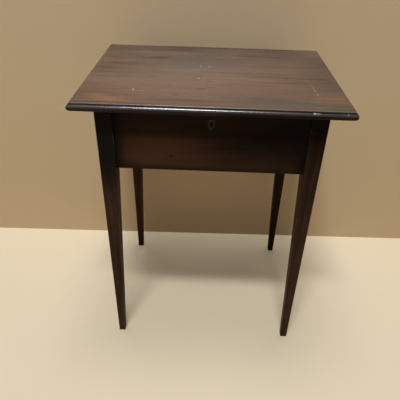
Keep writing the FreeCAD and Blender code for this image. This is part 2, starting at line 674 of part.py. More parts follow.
def make_inlay():
    """The shield round the keyhole, let in flush with the apron, and the tools for its seat and keyhole."""
    rim = ("inlay_wide", "0", "inlay_tall", "inlay_point")
    keyhole = ("keyhole_wide", "-keyhole_inset", "keyhole_tall", "keyhole_point")
    at = ("0", APRON_FACE, INLAY_TOP)
    inlay = new_body("keyhole_escutcheon")
    plan = shield(sketch(inlay, "plan", "XZ_Plane"), *rim)
    pad(inlay, shield(plan, *keyhole), "inlay_thick", back=True)
    keep("keyhole_escutcheon", place(inlay, at))
    seat = new_body("inlay_seat")
    seat_plan = shield(sketch(seat, "plan", "XZ_Plane"), *rim, "inlay_fit")
    pad(seat, seat_plan, "inlay_thick", back=True)
    hole = new_body("keyhole_tool")
    pad(hole, shield(sketch(hole, "plan", "XZ_Plane"), *keyhole), "apron_thick", back=True)
    return [place(seat, at), place(hole, at)]


def make_lock():
    """The box lock behind the keyhole, and the tools that let it into the front apron."""
    screw = make_screw("lock_screw", "lock")
    bore = make_bore("lock_bore", "lock")
    sides = (f"-{LOCK_SCREW_X}", LOCK_SCREW_X)
    places = [((x, f"{LOCK_BACK} - selvedge_deep / 2", UNDERSIDE), UPRIGHT) for x in sides]
    places += [((x, LOCK_BACK, f"{UNDERSIDE} - lock_screw_drop"), TO_FRONT) for x in sides]
    bores = make_screws("lock_screws", screw, bore, places)
    make_backplate(bores)
    make_case()
    make_bolt()
    make_spring()
    post = ("0", f"{CASE_BACK} - case_deep - post_proud", KEY_Z)
    keep("lock_key_post", rod("key_post", "post_radius", "case_deep + post_proud", post, ALONG_Y))
    pins = [rod(f"guide_{count}", "guide_radius", "case_deep - case_wall", at, ALONG_Y)
            for count, at in enumerate(guide_places(), 1)]
    keep("lock_guide_pins", group("guide_pins", pins))
    half = "(lock_wide / 2 + leaf_fit)"
    above = f"{UNDERSIDE} + {OVERCUT}"
    inside = f"{LOCK_BACK} + {OVERCUT}"
    case_half = "(case_wide / 2 + case_fit)"
    plate_seat = box("plate_seat", (f"-{half}", CASE_BACK, f"{UNDERSIDE} - lock_tall - leaf_fit"),
                     (half, inside, above))
    selvedge_seat = box("selvedge_seat", (f"-{half}", f"{LOCK_BACK} - selvedge_deep - leaf_fit", CASE_TOP),
                        (half, inside, above))
    case_seat = box("case_seat", (f"-{case_half}", f"{CASE_BACK} - case_deep - case_fit",
                                  f"{CASE_TOP} - case_tall - case_fit"), (case_half, inside, above))
    return screw, bore, [plate_seat, selvedge_seat, case_seat, bores]


def make_backplate(bores):
    """The upright plate and the selvedge, bent from one sheet, with slots for the eyes."""
    body = new_body("backplate_blank")
    section = outline(sketch(body, "section", "YZ_Plane"), ("-lock_plate", "-lock_tall"), ("0", "-lock_tall"),
                      ("0", "0"), ("-selvedge_deep", "0"), ("-selvedge_deep", "-lock_plate"),
                      ("-lock_plate", "-lock_plate"))
    pad(body, section, "lock_wide", centred=True)
    place(body, ("0", LOCK_BACK, UNDERSIDE))
    low = f"{UNDERSIDE} - lock_plate - {OVERCUT}"
    high = f"{UNDERSIDE} + {OVERCUT}"
    slots = [eye_block(f"eye_slot_{count}", x, "eye_fit", low, high) for count, x in enumerate(EYES, 1)]
    keep("lock_backplate", cut("backplate_cut", body, [*slots, bores]))


def eye_block(name, x, grow, low, high, wall="0"):
    """A block round one eye of the link plate, grown on its sides."""
    deep = f"(eye_wide / 2 + {grow} - {wall})"
    thick = f"(eye_thick / 2 + {grow})"
    return box(name, (f"{x} - {thick}", f"{BOLT_Y} - {deep}", low),
               (f"{x} + {thick}", f"{BOLT_Y} + {deep}", high))


def make_case():
    """A sheet box, open at the back and under the selvedge, with the keyhole in its front."""
    half = "(case_wide / 2)"
    front = f"({CASE_BACK} - case_deep)"
    floor = f"({CASE_TOP} - case_tall)"
    outer = box("case_outer", (f"-{half}", front, floor), (half, CASE_BACK, CASE_TOP))
    inner = box("case_inner", (f"case_wall - {half}", f"{front} + case_wall", f"{floor} + case_wall"),
                (f"{half} - case_wall", f"{CASE_BACK} + {OVERCUT}", f"{CASE_TOP} + {OVERCUT}"))
    slot = box("case_slot",
               ("-key_wide / 4", f"{front} - {OVERCUT}", f"{KEY_Z} - key_drop"),
               ("key_wide / 4", f"{front} + case_wall + {OVERCUT}", KEY_Z))
    eye = rod("case_eye", "key_wide / 2", f"case_wall + 2 * {OVERCUT}",
              ("0", f"{front} - {OVERCUT}", KEY_Z), ALONG_Y)
    keep("lock_case", cut("case_cut", outer, [inner, slot, eye]))


def guide_places():
    """Unlocked, each guide pin stands at the right-hand end of its slot."""
    for start in GUIDE_STARTS:
        x = f"{BOLT_X} + {start} + {GUIDE_SLOT} - guide_radius - guide_play"
        yield x, f"{CASE_BACK} - case_deep + case_wall", f"{BOLT_Z} + bolt_bar / 2"


def make_bolt():
    """A flat bar with two hooked fingers, a notch for the key and two guide slots. Its lower left corner is
    its origin."""
    body = new_body("lock_bolt")
    top = "(bolt_bar + finger_tall)"
    tip = f"({top} - finger_tip)"
    hook = "(finger_wide + finger_reach)"
    second = "(eye_pitch + finger_wide)"
    far = f"(eye_pitch + {hook})"
    talon = "(talon_x + talon_wide)"
    shape = outline(sketch(body, "face", "XZ_Plane"), ("0", "0"), ("talon_x", "0"), ("talon_x", "talon_deep"),
                    (talon, "talon_deep"), (talon, "0"), ("bolt_length", "0"), ("bolt_length", "bolt_bar"),
                    (second, "bolt_bar"), (second, tip), (far, tip), (far, top), ("eye_pitch", top),
                    ("eye_pitch", "bolt_bar"), ("finger_wide", "bolt_bar"), ("finger_wide", tip), (hook, tip),
                    (hook, top), ("0", top))
    pad(body, shape, "bolt_thick", back=True)
    slots = sketch(body, "guides", "XZ_Plane")
    slot_half = "(guide_radius + guide_play)"
    for start in GUIDE_STARTS:
        rectangle(slots, (start, f"bolt_bar / 2 - {slot_half}"),
                  (f"{start} + {GUIDE_SLOT}", f"bolt_bar / 2 + {slot_half}"))
    pocket(body, slots, "bolt_thick")
    place(body, (BOLT_X, f"{BOLT_Y} - bolt_thick / 2", BOLT_Z))
    keep("lock_bolt", body)


def make_spring():
    """A hairpin spring between the floor of the lock case and the bolt. The middle of its bend is its
    origin."""
    body = new_body("lock_spring")
    floor = f"({CASE_TOP} - case_tall + case_wall)"
    outer = f"(({BOLT_Z} - spring_gap - {floor}) / 2)"
    inner = f"({outer} - spring_thick)"
    shape = outline(sketch(body, "face", "XZ_Plane"), ("0", f"-{outer}"), ("spring_reach", f"-{outer}"),
                    ("spring_reach", f"-{inner}"), ("0", f"-{inner}", inner, "in"),
                    (f"-{inner}", "0", inner, "in"), ("0", inner), ("spring_reach", inner),
                    ("spring_reach", outer), ("0", outer, outer), (f"-{outer}", "0", outer))
    pad(body, shape, "spring_wide", back=True)
    x = f"case_wall + spring_gap - case_wide / 2 + {outer}"
    keep("lock_spring", place(body, (x, f"{BOLT_Y} - spring_wide / 2", f"{floor} + {outer}")))


def make_link(screw, bore):
    """The plate under the lid with the two eyes, and the tools that let it into the lid."""
    places = [((x, BOLT_Y, UNDERSIDE), UPSIDE_DOWN) for x in (f"-{LINK_SCREW_X}", LINK_SCREW_X)]
    bores = make_screws("link_plate_screws", screw, bore, places)
    half = "(link_length / 2)"
    level = f"{UNDERSIDE} + link_thick"
    front = f"({BOLT_Y} - link_wide / 2)"
    back = f"({BOLT_Y} + link_wide / 2)"
    plate = box("link_blank", (f"-{half}", front, UNDERSIDE), (half, back, level))
    sill = f"({EYE_Z} - eye_hole / 2)"
    head = f"({EYE_Z} + eye_hole / 2)"
    eyes = []
    holes = []
    for count, x in enumerate(EYES, 1):
        eyes.append(eye_block(f"eye_{count}", x, "0", f"{sill} - eye_wall", level))
        holes.append(eye_block(f"eye_hole_{count}", x, "0", sill, head, "eye_wall"))
    keep("link_plate", cut("link_cut", fuse("link_body", [plate, *eyes]), [*holes, bores]))
    seat = box("link_seat", (f"-{half} - leaf_fit", f"{front} - leaf_fit", f"{UNDERSIDE} - {OVERCUT}"),
               (f"{half} + leaf_fit", f"{back} + leaf_fit", level))
    return [seat, bores]


def make_table():
    make_legs()
    make_pegs()
    make_aprons()
    make_ledgers()
    make_nails()
    make_floor()
    hinge_apron_tool, hinge_lid_tool = make_hinges()
    lock_screw, lock_bore, lock_tools = make_lock()
    link_tools = make_link(lock_screw, lock_bore)
    for side, tools in (("front", [*lock_tools, *make_inlay()]), ("rear", [hinge_apron_tool])):
        keep(f"apron_{side}", cut(f"apron_{side}_cut", nodes[f"apron_{side}"], tools))
    for side in ("left", "right"):
        keep(f"apron_{side}", nodes[f"apron_{side}"])
    reach = f"({BATTEN_LENGTH} / 2 - batten_screw_inset)"
    rows = [f"{MIDDLE} + {share} * {reach}" for share in ("-1", "-1 / 3", "1 / 3", "1")]
    level = f"{UNDERSIDE} - batten_thick"
    places = [((f"{side}{BATTEN_X}", row, level), UPSIDE_DOWN) for side in ("-", "") for row in rows]
    bores = make_screws("batten_screws", make_screw("batten_screw", "batten"),
                        make_bore("batten_bore", "batten"), places)
    make_battens(bores)
    make_lid_boards([*link_tools, bores], [hinge_lid_tool, bores])


def check():
    """Stops if any object failed, any pocket cut nothing, or any piece has no valid solid."""
    for item in doc.Objects:
        if "Invalid" in item.State or "Error" in item.State:
            raise RuntimeError(f"{item.Label} did not build: {item.State}")
        if item.TypeId == "PartDesign::Pocket" and item.Shape.Volume >= item.BaseFeature.Shape.Volume:
            raise RuntimeError(f"{item.Label} cuts nothing")
    for name, item in nodes.items():
        if item.Shape.isNull() or not item.Shape.isValid() or not item.Shape.Solids:
            raise RuntimeError(f"{name} has no valid solid")


fill_sheet()
make_table()
doc.recompute()
check()
os.makedirs("parts", exist_ok=True)
for name, item in nodes.items():
    item.Shape.exportStep(f"parts/{name}.step")
    print(f"{name}: {len(item.Shape.Solids)} solids, {item.Shape.Volume:.0f} mm3")
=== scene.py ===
"""Looks of a small dark tavern table with a lift-up lid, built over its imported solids."""
import contextlib
import functools
import json
import math
import random
from typing import NamedTuple

import bmesh
import bpy
from bpy.props import FloatProperty, FloatVectorProperty, IntProperty, PointerProperty
from mathutils import Matrix, Vector

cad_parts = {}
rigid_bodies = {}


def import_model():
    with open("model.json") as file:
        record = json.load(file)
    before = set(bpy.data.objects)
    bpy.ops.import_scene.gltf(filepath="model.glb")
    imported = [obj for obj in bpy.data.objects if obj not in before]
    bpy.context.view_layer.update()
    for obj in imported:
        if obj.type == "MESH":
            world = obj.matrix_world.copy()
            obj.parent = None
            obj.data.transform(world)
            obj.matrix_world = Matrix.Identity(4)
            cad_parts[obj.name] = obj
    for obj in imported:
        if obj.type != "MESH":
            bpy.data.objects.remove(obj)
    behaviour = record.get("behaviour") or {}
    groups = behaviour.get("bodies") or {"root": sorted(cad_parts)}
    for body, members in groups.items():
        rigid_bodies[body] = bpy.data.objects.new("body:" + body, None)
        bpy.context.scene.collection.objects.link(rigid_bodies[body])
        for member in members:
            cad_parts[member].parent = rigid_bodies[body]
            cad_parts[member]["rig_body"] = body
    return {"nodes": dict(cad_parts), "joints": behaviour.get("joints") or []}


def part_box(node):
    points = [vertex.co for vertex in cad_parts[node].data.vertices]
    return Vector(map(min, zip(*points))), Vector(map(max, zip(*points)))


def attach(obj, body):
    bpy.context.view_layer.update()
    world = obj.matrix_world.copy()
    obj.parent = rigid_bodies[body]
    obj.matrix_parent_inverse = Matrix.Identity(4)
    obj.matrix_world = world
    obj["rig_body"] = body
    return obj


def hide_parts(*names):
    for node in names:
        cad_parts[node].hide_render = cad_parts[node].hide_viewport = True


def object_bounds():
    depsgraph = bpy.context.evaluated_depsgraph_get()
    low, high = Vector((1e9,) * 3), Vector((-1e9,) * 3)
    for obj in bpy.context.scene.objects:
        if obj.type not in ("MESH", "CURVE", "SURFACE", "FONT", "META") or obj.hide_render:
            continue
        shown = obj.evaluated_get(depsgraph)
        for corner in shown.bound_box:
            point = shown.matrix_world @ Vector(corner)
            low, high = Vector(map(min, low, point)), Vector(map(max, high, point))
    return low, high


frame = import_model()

bl_info = {
    "name": "Tavern Table",
    "version": (1, 0, 0),
    "blender": (4, 5, 0),
    "location": "View3D > Sidebar > Tavern Table",
    "description": "Models and finishes a small tavern table with a lift-up lid",
    "category": "Add Mesh",
}

NODES = frame["nodes"]
SOLID_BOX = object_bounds()
HINGE_PIN = Vector(next(joint["pos_m"] for joint in frame["joints"] if joint["name"] == "lid_hinge"))
LID_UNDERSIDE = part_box("lid_front_board")[0].z
APRON_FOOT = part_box("apron_front")[0].z
# Corners of the space between the legs
LEGS_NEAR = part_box("leg_front_left")[1]
LEGS_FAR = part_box("leg_rear_right")[0]

MM = 0.001
QUARTER = math.pi / 2
UP = Vector((0, 0, 1))
DOWN = Vector((0, 0, -1))
INTO_WELL = Vector((0, 1, 0))
# Closer than this counts as the same place
NEAR = 0.01 * MM
# How far a cutting tool stands past the wood that it cuts
CLEAR = 2 * MM
# How squarely a face has to look along an axis to be taken for a flat one
SQUARE = 0.9

# Turn of the front left post at each corner, in degrees
LEGS = {"front_left": 0, "front_right": 90, "rear_left": -90, "rear_right": 180}
# Run of the grain in each apron
APRONS = {"front": "X", "rear": "X", "left": "Y", "right": "Y"}
SIDES = ("left", "right")


def length(name, text, millimetres):
    return FloatProperty(name=name, description=text, default=millimetres * MM, unit="LENGTH", precision=5)


def colour(name, text, *rgb):
    return FloatVectorProperty(name=name, description=text, subtype="COLOR", min=0, max=1, default=rgb)


def factor(name, text, value):
    return FloatProperty(name=name, description=text, subtype="FACTOR", min=0, max=1, default=value)


class TavernSizes(bpy.types.PropertyGroup):
    """Sizes of what the solids leave plain."""
    arris: length("Arris", "Rounding of the frame's handled edges", 1.3)
    fine_arris: length("Fine arris", "Rounding of edges that hands don't reach", 0.5)
    floor_arris: length("Floor arris", "Rounding of the well's floor boards", 1.04)
    inlay_arris: length("Inlay arris", "Rounding of the inlay round the keyhole", 0.25)
    nose_radius: length("Nose radius", "Half-round nose of the lid's edge", 8)
    step_inset: length("Step inset", "Lid's edge to the step above its nose", 6)
    step_wear: length("Step wear", "Rounding of the lid's upper edge", 0.7)
    corner_wear: length("Corner wear", "Rounding of the lid's four corners", 3.5)
    nose_steps: IntProperty(name="Nose steps", description="Strips in the lid's nose", default=24, min=4)
    seat_room: length("Seat room", "Room round plates that are let in", 0.3)
    leaf_seat: length("Leaf seat", "Depth of a hinge leaf's seat", 2.0)
    groove_radius: length("Groove radius", "Groove in the lid for the hinge knuckles", 4.2)
    lock_plate: length("Lock plate", "Metal of the lock's plates", 1.6)
    batten_chamfer: length("Batten chamfer", "Bevel at the battens' ends", 10)
    peg_proud: length("Peg proud", "Pegs past the shrunken legs", 0.25)
    peg_ease: length("Peg ease", "Bevel at a peg's outer end", 0.5)
    keyhole_wide: length("Keyhole width", "Keyhole in the inlay", 7.4)
    keyhole_tall: length("Keyhole height", "Keyhole in the inlay", 17)
    keyhole_drop: length("Keyhole drop", "Inlay's top to the keyhole's top", 1.2)
    head_rim: length("Head rim", "Straight rim of a screw's head", 0.1)
    slot_wide: length("Slot width", "Slot of a screw's head", 0.8)
    slot_deep: length("Slot depth", "Slot of a screw's head", 0.7)


class TavernFinish(bpy.types.PropertyGroup):
    """Colours and gloss of the woods and metals."""
    wood_dark: colour("Wood, dark", "Dark streaks of the finished wood", 0.050, 0.024, 0.014)
    wood_middle: colour("Wood, middle", "Body colour of the finished wood", 0.112, 0.058, 0.036)
    wood_light: colour("Wood, light", "Light streaks of the finished wood", 0.190, 0.104, 0.064)
    worn_wood: colour("Worn wood", "Rubbed edges of the finished wood", 0.29, 0.19, 0.13)
    bare_dark: colour("Bare wood, dark", "Dark streaks of unfinished wood", 0.11, 0.062, 0.034)
    bare_light: colour("Bare wood, light", "Light streaks of unfinished wood", 0.30, 0.19, 0.11)
    brass: colour("Brass", "Clean brass", 0.52, 0.36, 0.16)
    brass_tarnish: colour("Brass tarnish", "Brown skin on old brass", 0.14, 0.092, 0.045)
    iron: colour("Iron", "Dark bare iron", 0.16, 0.15, 0.14)
    rust: colour("Rust", "Rust on iron", 0.13, 0.055, 0.025)
    inlay: colour("Inlay", "Tarnished inlay round the keyhole", 0.028, 0.020, 0.0165)
    lid_gloss: factor("Lid gloss", "Roughness of the lid's polish", 0.34)
    frame_gloss: factor("Frame gloss", "Roughness of the frame's polish", 0.46)


class TavernStage(bpy.types.PropertyGroup):
    """Floor, backdrop, lamps and camera."""
    floor: colour("Floor", "Pale floor", 0.70, 0.60, 0.44)
    floor_size: length("Floor size", "Side of the floor", 8000)
    floor_lift: factor("Floor lift", "Glow of the floor that only the camera and gloss see", 0.14)
    wall: colour("Wall", "Backdrop", 0.70, 0.525, 0.325)
    wall_y: length("Wall", "Middle of the table to the backdrop", 282)
    wall_wide: length("Wall width", "Width of the backdrop", 4000)
    wall_tall: length("Wall height", "Height of the backdrop", 1100)
    wall_turn: FloatProperty(name="Wall turn", description="Backdrop about the vertical", subtype="ANGLE",
                             default=0.018)
    wall_lift: factor("Wall lift", "Glow of the backdrop that only the camera and gloss see", 0.03)
    ambient: factor("Ambient", "Light from all round", 0.05)
    camera_place: FloatVectorProperty(name="Camera", description="Camera's place", subtype="XYZ",
                                      unit="LENGTH", default=(-0.00535, -1.077845, 1.089018))
    camera_aim: FloatVectorProperty(name="Camera aim", description="Camera's pitch, roll and yaw",
                                    subtype="EULER", default=(-0.600182, 0.028329, -0.01632))
    camera_lens: FloatProperty(name="Lens", description="Camera's focal length in mm", default=39.3986)
    camera_sensor: FloatProperty(name="Sensor", description="Width of the camera's sensor in mm", default=36)


GROUPS = {"tavern_sizes": TavernSizes, "tavern_finish": TavernFinish, "tavern_stage": TavernStage}


def sizes():
    return bpy.context.scene.tavern_sizes


def finishes():
    return bpy.context.scene.tavern_finish


# Modelling helpers

def fresh():
    """Object mode with nothing selected."""
    if bpy.context.object and bpy.context.object.mode != "OBJECT":
        bpy.ops.object.mode_set(mode="OBJECT")
    bpy.ops.object.select_all(action="DESELECT")


def choose(*pieces):
    fresh()
    for piece in pieces:
        piece.select_set(True)
    bpy.context.view_layer.objects.active = pieces[-1]


@contextlib.contextmanager
def editing(piece):
    choose(piece)
    bpy.ops.object.mode_set(mode="EDIT")
    bpy.ops.mesh.select_all(action="SELECT")
    yield
    bpy.ops.object.mode_set(mode="OBJECT")


def pick(piece, kind, test):
    """Selects the faces or edges that pass a test."""
    bpy.ops.mesh.select_mode(type=kind)
    bpy.ops.mesh.select_all(action="DESELECT")
    shape = bmesh.from_edit_mesh(piece.data)
    found = [item for item in (shape.faces if kind == "FACE" else shape.edges) if test(item)]
    if not found:
        raise RuntimeError(f"{piece.name} has nothing to shape there")
    for item in found:
        item.select_set(True)
    bmesh.update_edit_mesh(piece.data)


def named(piece, name):
    piece.name = name
    piece.data.name = name
    return piece


def settle(name):
    """The active object under its own name, with its place in its mesh."""
    bpy.ops.object.transform_apply(location=True, rotation=True, scale=True)
    return named(bpy.context.object, name)


def block(name, low, high):
    fresh()
    low, high = Vector(low), Vector(high)
    bpy.ops.mesh.primitive_cube_add(size=1, location=(low + high) / 2, scale=high - low)
    return settle(name)


def bar(name, sides, radius, middle, long, turn=(0, 0, 0)):
    fresh()
    bpy.ops.mesh.primitive_cylinder_add(vertices=sides, radius=radius, depth=long, location=middle,
                                        rotation=turn)
    return settle(name)


def copy_of(piece, name):
    choose(piece)
    bpy.ops.object.duplicate()
    return named(bpy.context.object, name)


def moved_copy(piece, name, move):
    """A copy with its new place and turn in its mesh."""
    made = copy_of(piece, name)
    made.matrix_world = move
    choose(made)
    return settle(name)


def repeated(name, master, moves):
    """Copies of one shape in several places, as one piece."""
    copies = [moved_copy(master, f"{name}_copy", move) for move in moves]
    bpy.data.objects.remove(master)
    choose(*copies)
    bpy.ops.object.join()
    return named(bpy.context.object, name)


def facing(place, way):
    """A place, with the Z axis turned to face a way."""
    return Matrix.Translation(place) @ way.to_track_quat("Z", "Y").to_matrix().to_4x4()


def centre(box):
    return (box[0] + box[1]) / 2


def apply_modifier(piece, kind, **settings):
    choose(piece)
    step = piece.modifiers.new(kind.lower(), kind)
    for name, value in settings.items():
        setattr(step, name, value)
    bpy.ops.object.modifier_apply(modifier=step.name)


def carve(piece, *tools):
    """Cuts tools out of a piece and drops them."""
    for tool in tools:
        apply_modifier(piece, "BOOLEAN", operation="DIFFERENCE", solver="EXACT", object=tool)
        bpy.data.objects.remove(tool)
    if not piece.data.polygons:
        raise RuntimeError(f"{piece.name} was lost in a cut")


def soften(piece, width, steps=3, sharp=30):
    """Rounds every edge sharper than some degrees a little and keeps the flats flat."""
    apply_modifier(piece, "BEVEL", width=width, segments=steps, limit_method="ANGLE",
                   angle_limit=math.radians(sharp), miter_outer="MITER_ARC")
    mark_arris(piece)
    smooth(piece)


def smooth(piece, degrees=40):
    choose(piece)
    bpy.ops.object.shade_smooth_by_angle(angle=math.radians(degrees))
    apply_modifier(piece, "WEIGHTED_NORMAL", weight=100, keep_sharp=True)


def store(piece, name, domain, values):
    """Keeps a number for each face or vertex, which the finish reads."""
    piece.data.attributes.new(name, "FLOAT", domain).data.foreach_set("value", values)


def mark_arris(piece):
    """Marks the faces that lie across a rounded edge, where a finish wears first."""
    flat = 0.985
    slanted = [float(max(abs(part) for part in face.normal) < flat) for face in piece.data.polygons]
    store(piece, "arris", "FACE", slanted)


def dress(piece, *materials):
    piece.data.materials.clear()
    for material in materials:
        piece.data.materials.append(material)


def paint_faces(piece, index, test):
    """Gives the faces that pass a test another of the piece's materials."""
    for face in piece.data.polygons:
        if test(face):
            face.material_index = index


def hand_over(piece, node):
    """Puts a piece in the place of a solid."""
    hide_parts(node)
    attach(piece, NODES[node]["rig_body"])


def solids_of(node):
    """Lowest and highest corner of each separate solid in a node."""
    shape = bmesh.new()
    shape.from_mesh(NODES[node].data)
    bmesh.ops.remove_doubles(shape, verts=shape.verts, dist=NEAR)
    left = set(shape.verts)
    boxes = []
    while left:
        found = [left.pop()]
        for vertex in found:
            for edge in vertex.link_edges:
                other = edge.other_vert(vertex)
                if other in left:
                    left.remove(other)
                    found.append(other)
        places = [vertex.co for vertex in found]
        boxes.append((Vector(map(min, zip(*places))), Vector(map(max, zip(*places)))))
    shape.free()
    return sorted(boxes, key=lambda box: tuple(box[0]))


# Node helpers

def feed(tree, target, inputs):
    """Links sockets to a node's inputs, or sets plain values on them."""
    for name, value in inputs.items():
        if isinstance(value, bpy.types.NodeSocket):
            tree.links.new(value, target.inputs[name])
        else:
            target.inputs[name].default_value = value


def node(tree, kind, inputs=None, **settings):
    made = tree.nodes.new(f"ShaderNode{kind}")
    for name, value in settings.items():
        setattr(made, name, value)
    feed(tree, made, inputs or {})
    return made


def math_node(tree, operation, first, second=0.0, clamp=False):
    return node(tree, "Math", {0: first, 1: second}, operation=operation, use_clamp=clamp).outputs[0]


def times(tree, first, second, clamp=False):
    return math_node(tree, "MULTIPLY", first, second, clamp)


def plus(tree, first, second, clamp=False):
    return math_node(tree, "ADD", first, second, clamp)


def minus(tree, first, second):
    return math_node(tree, "SUBTRACT", first, second)


def gap(tree, first, second):
    """How far two numbers lie apart."""
    return math_node(tree, "ABSOLUTE", minus(tree, first, second))


def vector_math(tree, operation, first, second):
    return node(tree, "VectorMath", {0: first, 1: second}, operation=operation).outputs[0]


def remap(tree, value, low, high, to_low=0.0, to_high=1.0):
    """Smooth step from one range to another."""
    return node(tree, "MapRange", {"Value": value, "From Min": low, "From Max": high, "To Min": to_low,
                                   "To Max": to_high}, interpolation_type="SMOOTHSTEP").outputs["Result"]


def mix(tree, share, first, second):
    return node(tree, "Mix", {0: share, 6: first, 7: second}, data_type="RGBA").outputs[2]


def rgba(rgb):
    return (*rgb, 1)


def scaled(parts, share):
    return [part * share for part in parts]


def wash(tree, paint, mask, share, tint):
    """Paint with a tint over it, as far as a mask and a share let it show."""
    return mix(tree, times(tree, mask, share), paint, rgba(tint))


def noise(tree, vector, scale, detail=2.0, roughness=0.5):
    return node(tree, "TexNoise", {"Vector": vector, "Scale": scale, "Detail": detail,
                                   "Roughness": roughness}).outputs["Fac"]


def streaks(tree, vector, along, across, detail=2.0, roughness=0.5):
    """Noise drawn out along X."""
    return noise(tree, vector_math(tree, "MULTIPLY", vector, (along, across, across)), 1.0, detail, roughness)


def object_place(tree):
    return node(tree, "TexCoord").outputs["Object"]


def height_of(tree, place):
    return node(tree, "SeparateXYZ", {0: place}).outputs["Z"]


def stored(tree, name):
    return node(tree, "Attribute", attribute_name=name).outputs["Fac"]


def bump(tree, height, strength, depth, **over):
    inputs = {"Height": height, "Strength": strength, "Distance": depth, **over}
    return node(tree, "Bump", inputs).outputs["Normal"]


def new_group(name, inputs, outputs):
    """An empty node group with its sockets, the values it is given and the node for its results."""
    group = bpy.data.node_groups.new(name, "ShaderNodeTree")
    for label, default in inputs.items():
        kind = "NodeSocketVector" if isinstance(default, tuple) else "NodeSocketFloat"
        group.interface.new_socket(name=label, in_out="INPUT", socket_type=kind).default_value = default
    for label in outputs:
        group.interface.new_socket(name=label, in_out="OUTPUT", socket_type="NodeSocketFloat")
    return group, group.nodes.new("NodeGroupInput").outputs, group.nodes.new("NodeGroupOutput")


def effect(name, outputs, **inputs):
    """Turns a function that wires an effect into one that places its node group, which is built once."""
    def wrap(wire):
        @functools.wraps(wire)
        def place(tree, values):
            if name not in bpy.data.node_groups:
                group, given, result = new_group(name, {"Vector": (0, 0, 0), **inputs}, outputs)
                feed(group, result, wire(group, given))
            return node(tree, "Group", values, node_tree=bpy.data.node_groups[name]).outputs
        return place
    return wrap


def finish(surface):
    """Turns a function that gives the values of a shader's sockets into one that makes a material once."""
    @functools.wraps(surface)
    def material(name, *values, **settings):
        if name not in bpy.data.materials:
            made = bpy.data.materials.new(name)
            made.use_nodes = True
            tree = made.node_tree
            feed(tree, tree.nodes["Principled BSDF"], surface(tree, *values, **settings))
        return bpy.data.materials[name]
    return material


# Effects that several finishes share

@effect("Wood grain", ("Tone", "Pore", "Height"), Broad=0.55, Streak=0.5, Pores=0.5)
def wood_grain(tree, given):
    """Broad and narrow streaks, fibres and pores of a board whose grain runs along X."""
    vector = given["Vector"]
    even, drift, middle_tone, fibre_share = 0.5, 0.035, 0.45, 0.22
    wander = node(tree, "TexNoise", {"Vector": vector, "Scale": 3.1, "Detail": 2.0}).outputs["Color"]
    wander = vector_math(tree, "SUBTRACT", wander, (even, even, even))
    bent = vector_math(tree, "ADD", vector, vector_math(tree, "MULTIPLY", wander, (drift, drift, drift)))
    broad = remap(tree, streaks(tree, bent, along=1.3, across=17, detail=3.0, roughness=0.55), 0.3, 0.7)
    narrow = remap(tree, streaks(tree, bent, along=2.6, across=95, detail=4.0, roughness=0.62), 0.28, 0.72)
    fibre = streaks(tree, bent, along=16, across=700, detail=3.0, roughness=0.6)
    pore = remap(tree, streaks(tree, vector, along=95, across=1900, detail=1.0), 0.60, 0.72)
    pore = times(tree, pore, given["Pores"])
    tone = middle_tone
    for figure, share in ((broad, given["Broad"]), (narrow, given["Streak"]), (fibre, fibre_share)):
        tone = plus(tree, times(tree, minus(tree, figure, even), share), tone)
    return {"Tone": plus(tree, tone, 0.0, clamp=True), "Pore": pore,
            "Height": minus(tree, times(tree, fibre, 0.5), pore)}


@effect("Hand wear", ("Rub", "Dirt", "Sway"), Arris=0.0, Amount=0.5)
def hand_wear(tree, given):
    """Where hands and cloths have rubbed a finish, where dirt has stayed, and how the surface sways."""
    vector = given["Vector"]
    patch = remap(tree, noise(tree, vector, scale=23, detail=4.0, roughness=0.65), 0.40, 0.62)
    nick = remap(tree, noise(tree, vector, scale=190, detail=3.0, roughness=0.6), 0.36, 0.60)
    edge = times(tree, times(tree, given["Arris"], patch), nick)
    return {"Rub": times(tree, edge, given["Amount"], clamp=True),
            "Dirt": remap(tree, noise(tree, vector, scale=9, detail=5.0, roughness=0.6), 0.42, 0.72),
            "Sway": noise(tree, vector, scale=14, detail=1.0, roughness=0.4)}


@effect("Spot", ("Mask", "Ring"), Centre=(0, 0, 0), Reach=(0.02, 0.02, 1), Turn=0.0, Ragged=0.3, Core=0.4)
def soft_spot(tree, given):
    """A soft-edged mark at one place on a board, and the ring along its rim."""
    away = vector_math(tree, "SUBTRACT", given["Vector"], given["Centre"])
    turned = node(tree, "VectorRotate", {"Vector": away, "Angle": given["Turn"]}, rotation_type="Z_AXIS")
    share = vector_math(tree, "DIVIDE", turned.outputs[0], given["Reach"])
    flat = vector_math(tree, "MULTIPLY", share, (1, 1, 0))
    reach = node(tree, "VectorMath", {0: flat}, operation="LENGTH").outputs["Value"]
    rough = minus(tree, noise(tree, flat, scale=1.6, detail=4.0, roughness=0.6), 0.5)
    reach = plus(tree, reach, times(tree, rough, given["Ragged"]))
    rim = 0.85
    return {"Mask": remap(tree, reach, 1.0, given["Core"]),
            "Ring": remap(tree, gap(tree, reach, rim), 0.15, 0.02)}


@effect("Mottle", ("Red", "Grey"))
def mottle(tree, given):
    """Redder and greyer clouds in a board, drawn out along X."""
    clouds = {"Red": (5.5, 21), "Grey": (5, 17)}
    return {name: remap(tree, streaks(tree, given["Vector"], along, across), 0.42, 0.66)
            for name, (along, across) in clouds.items()}


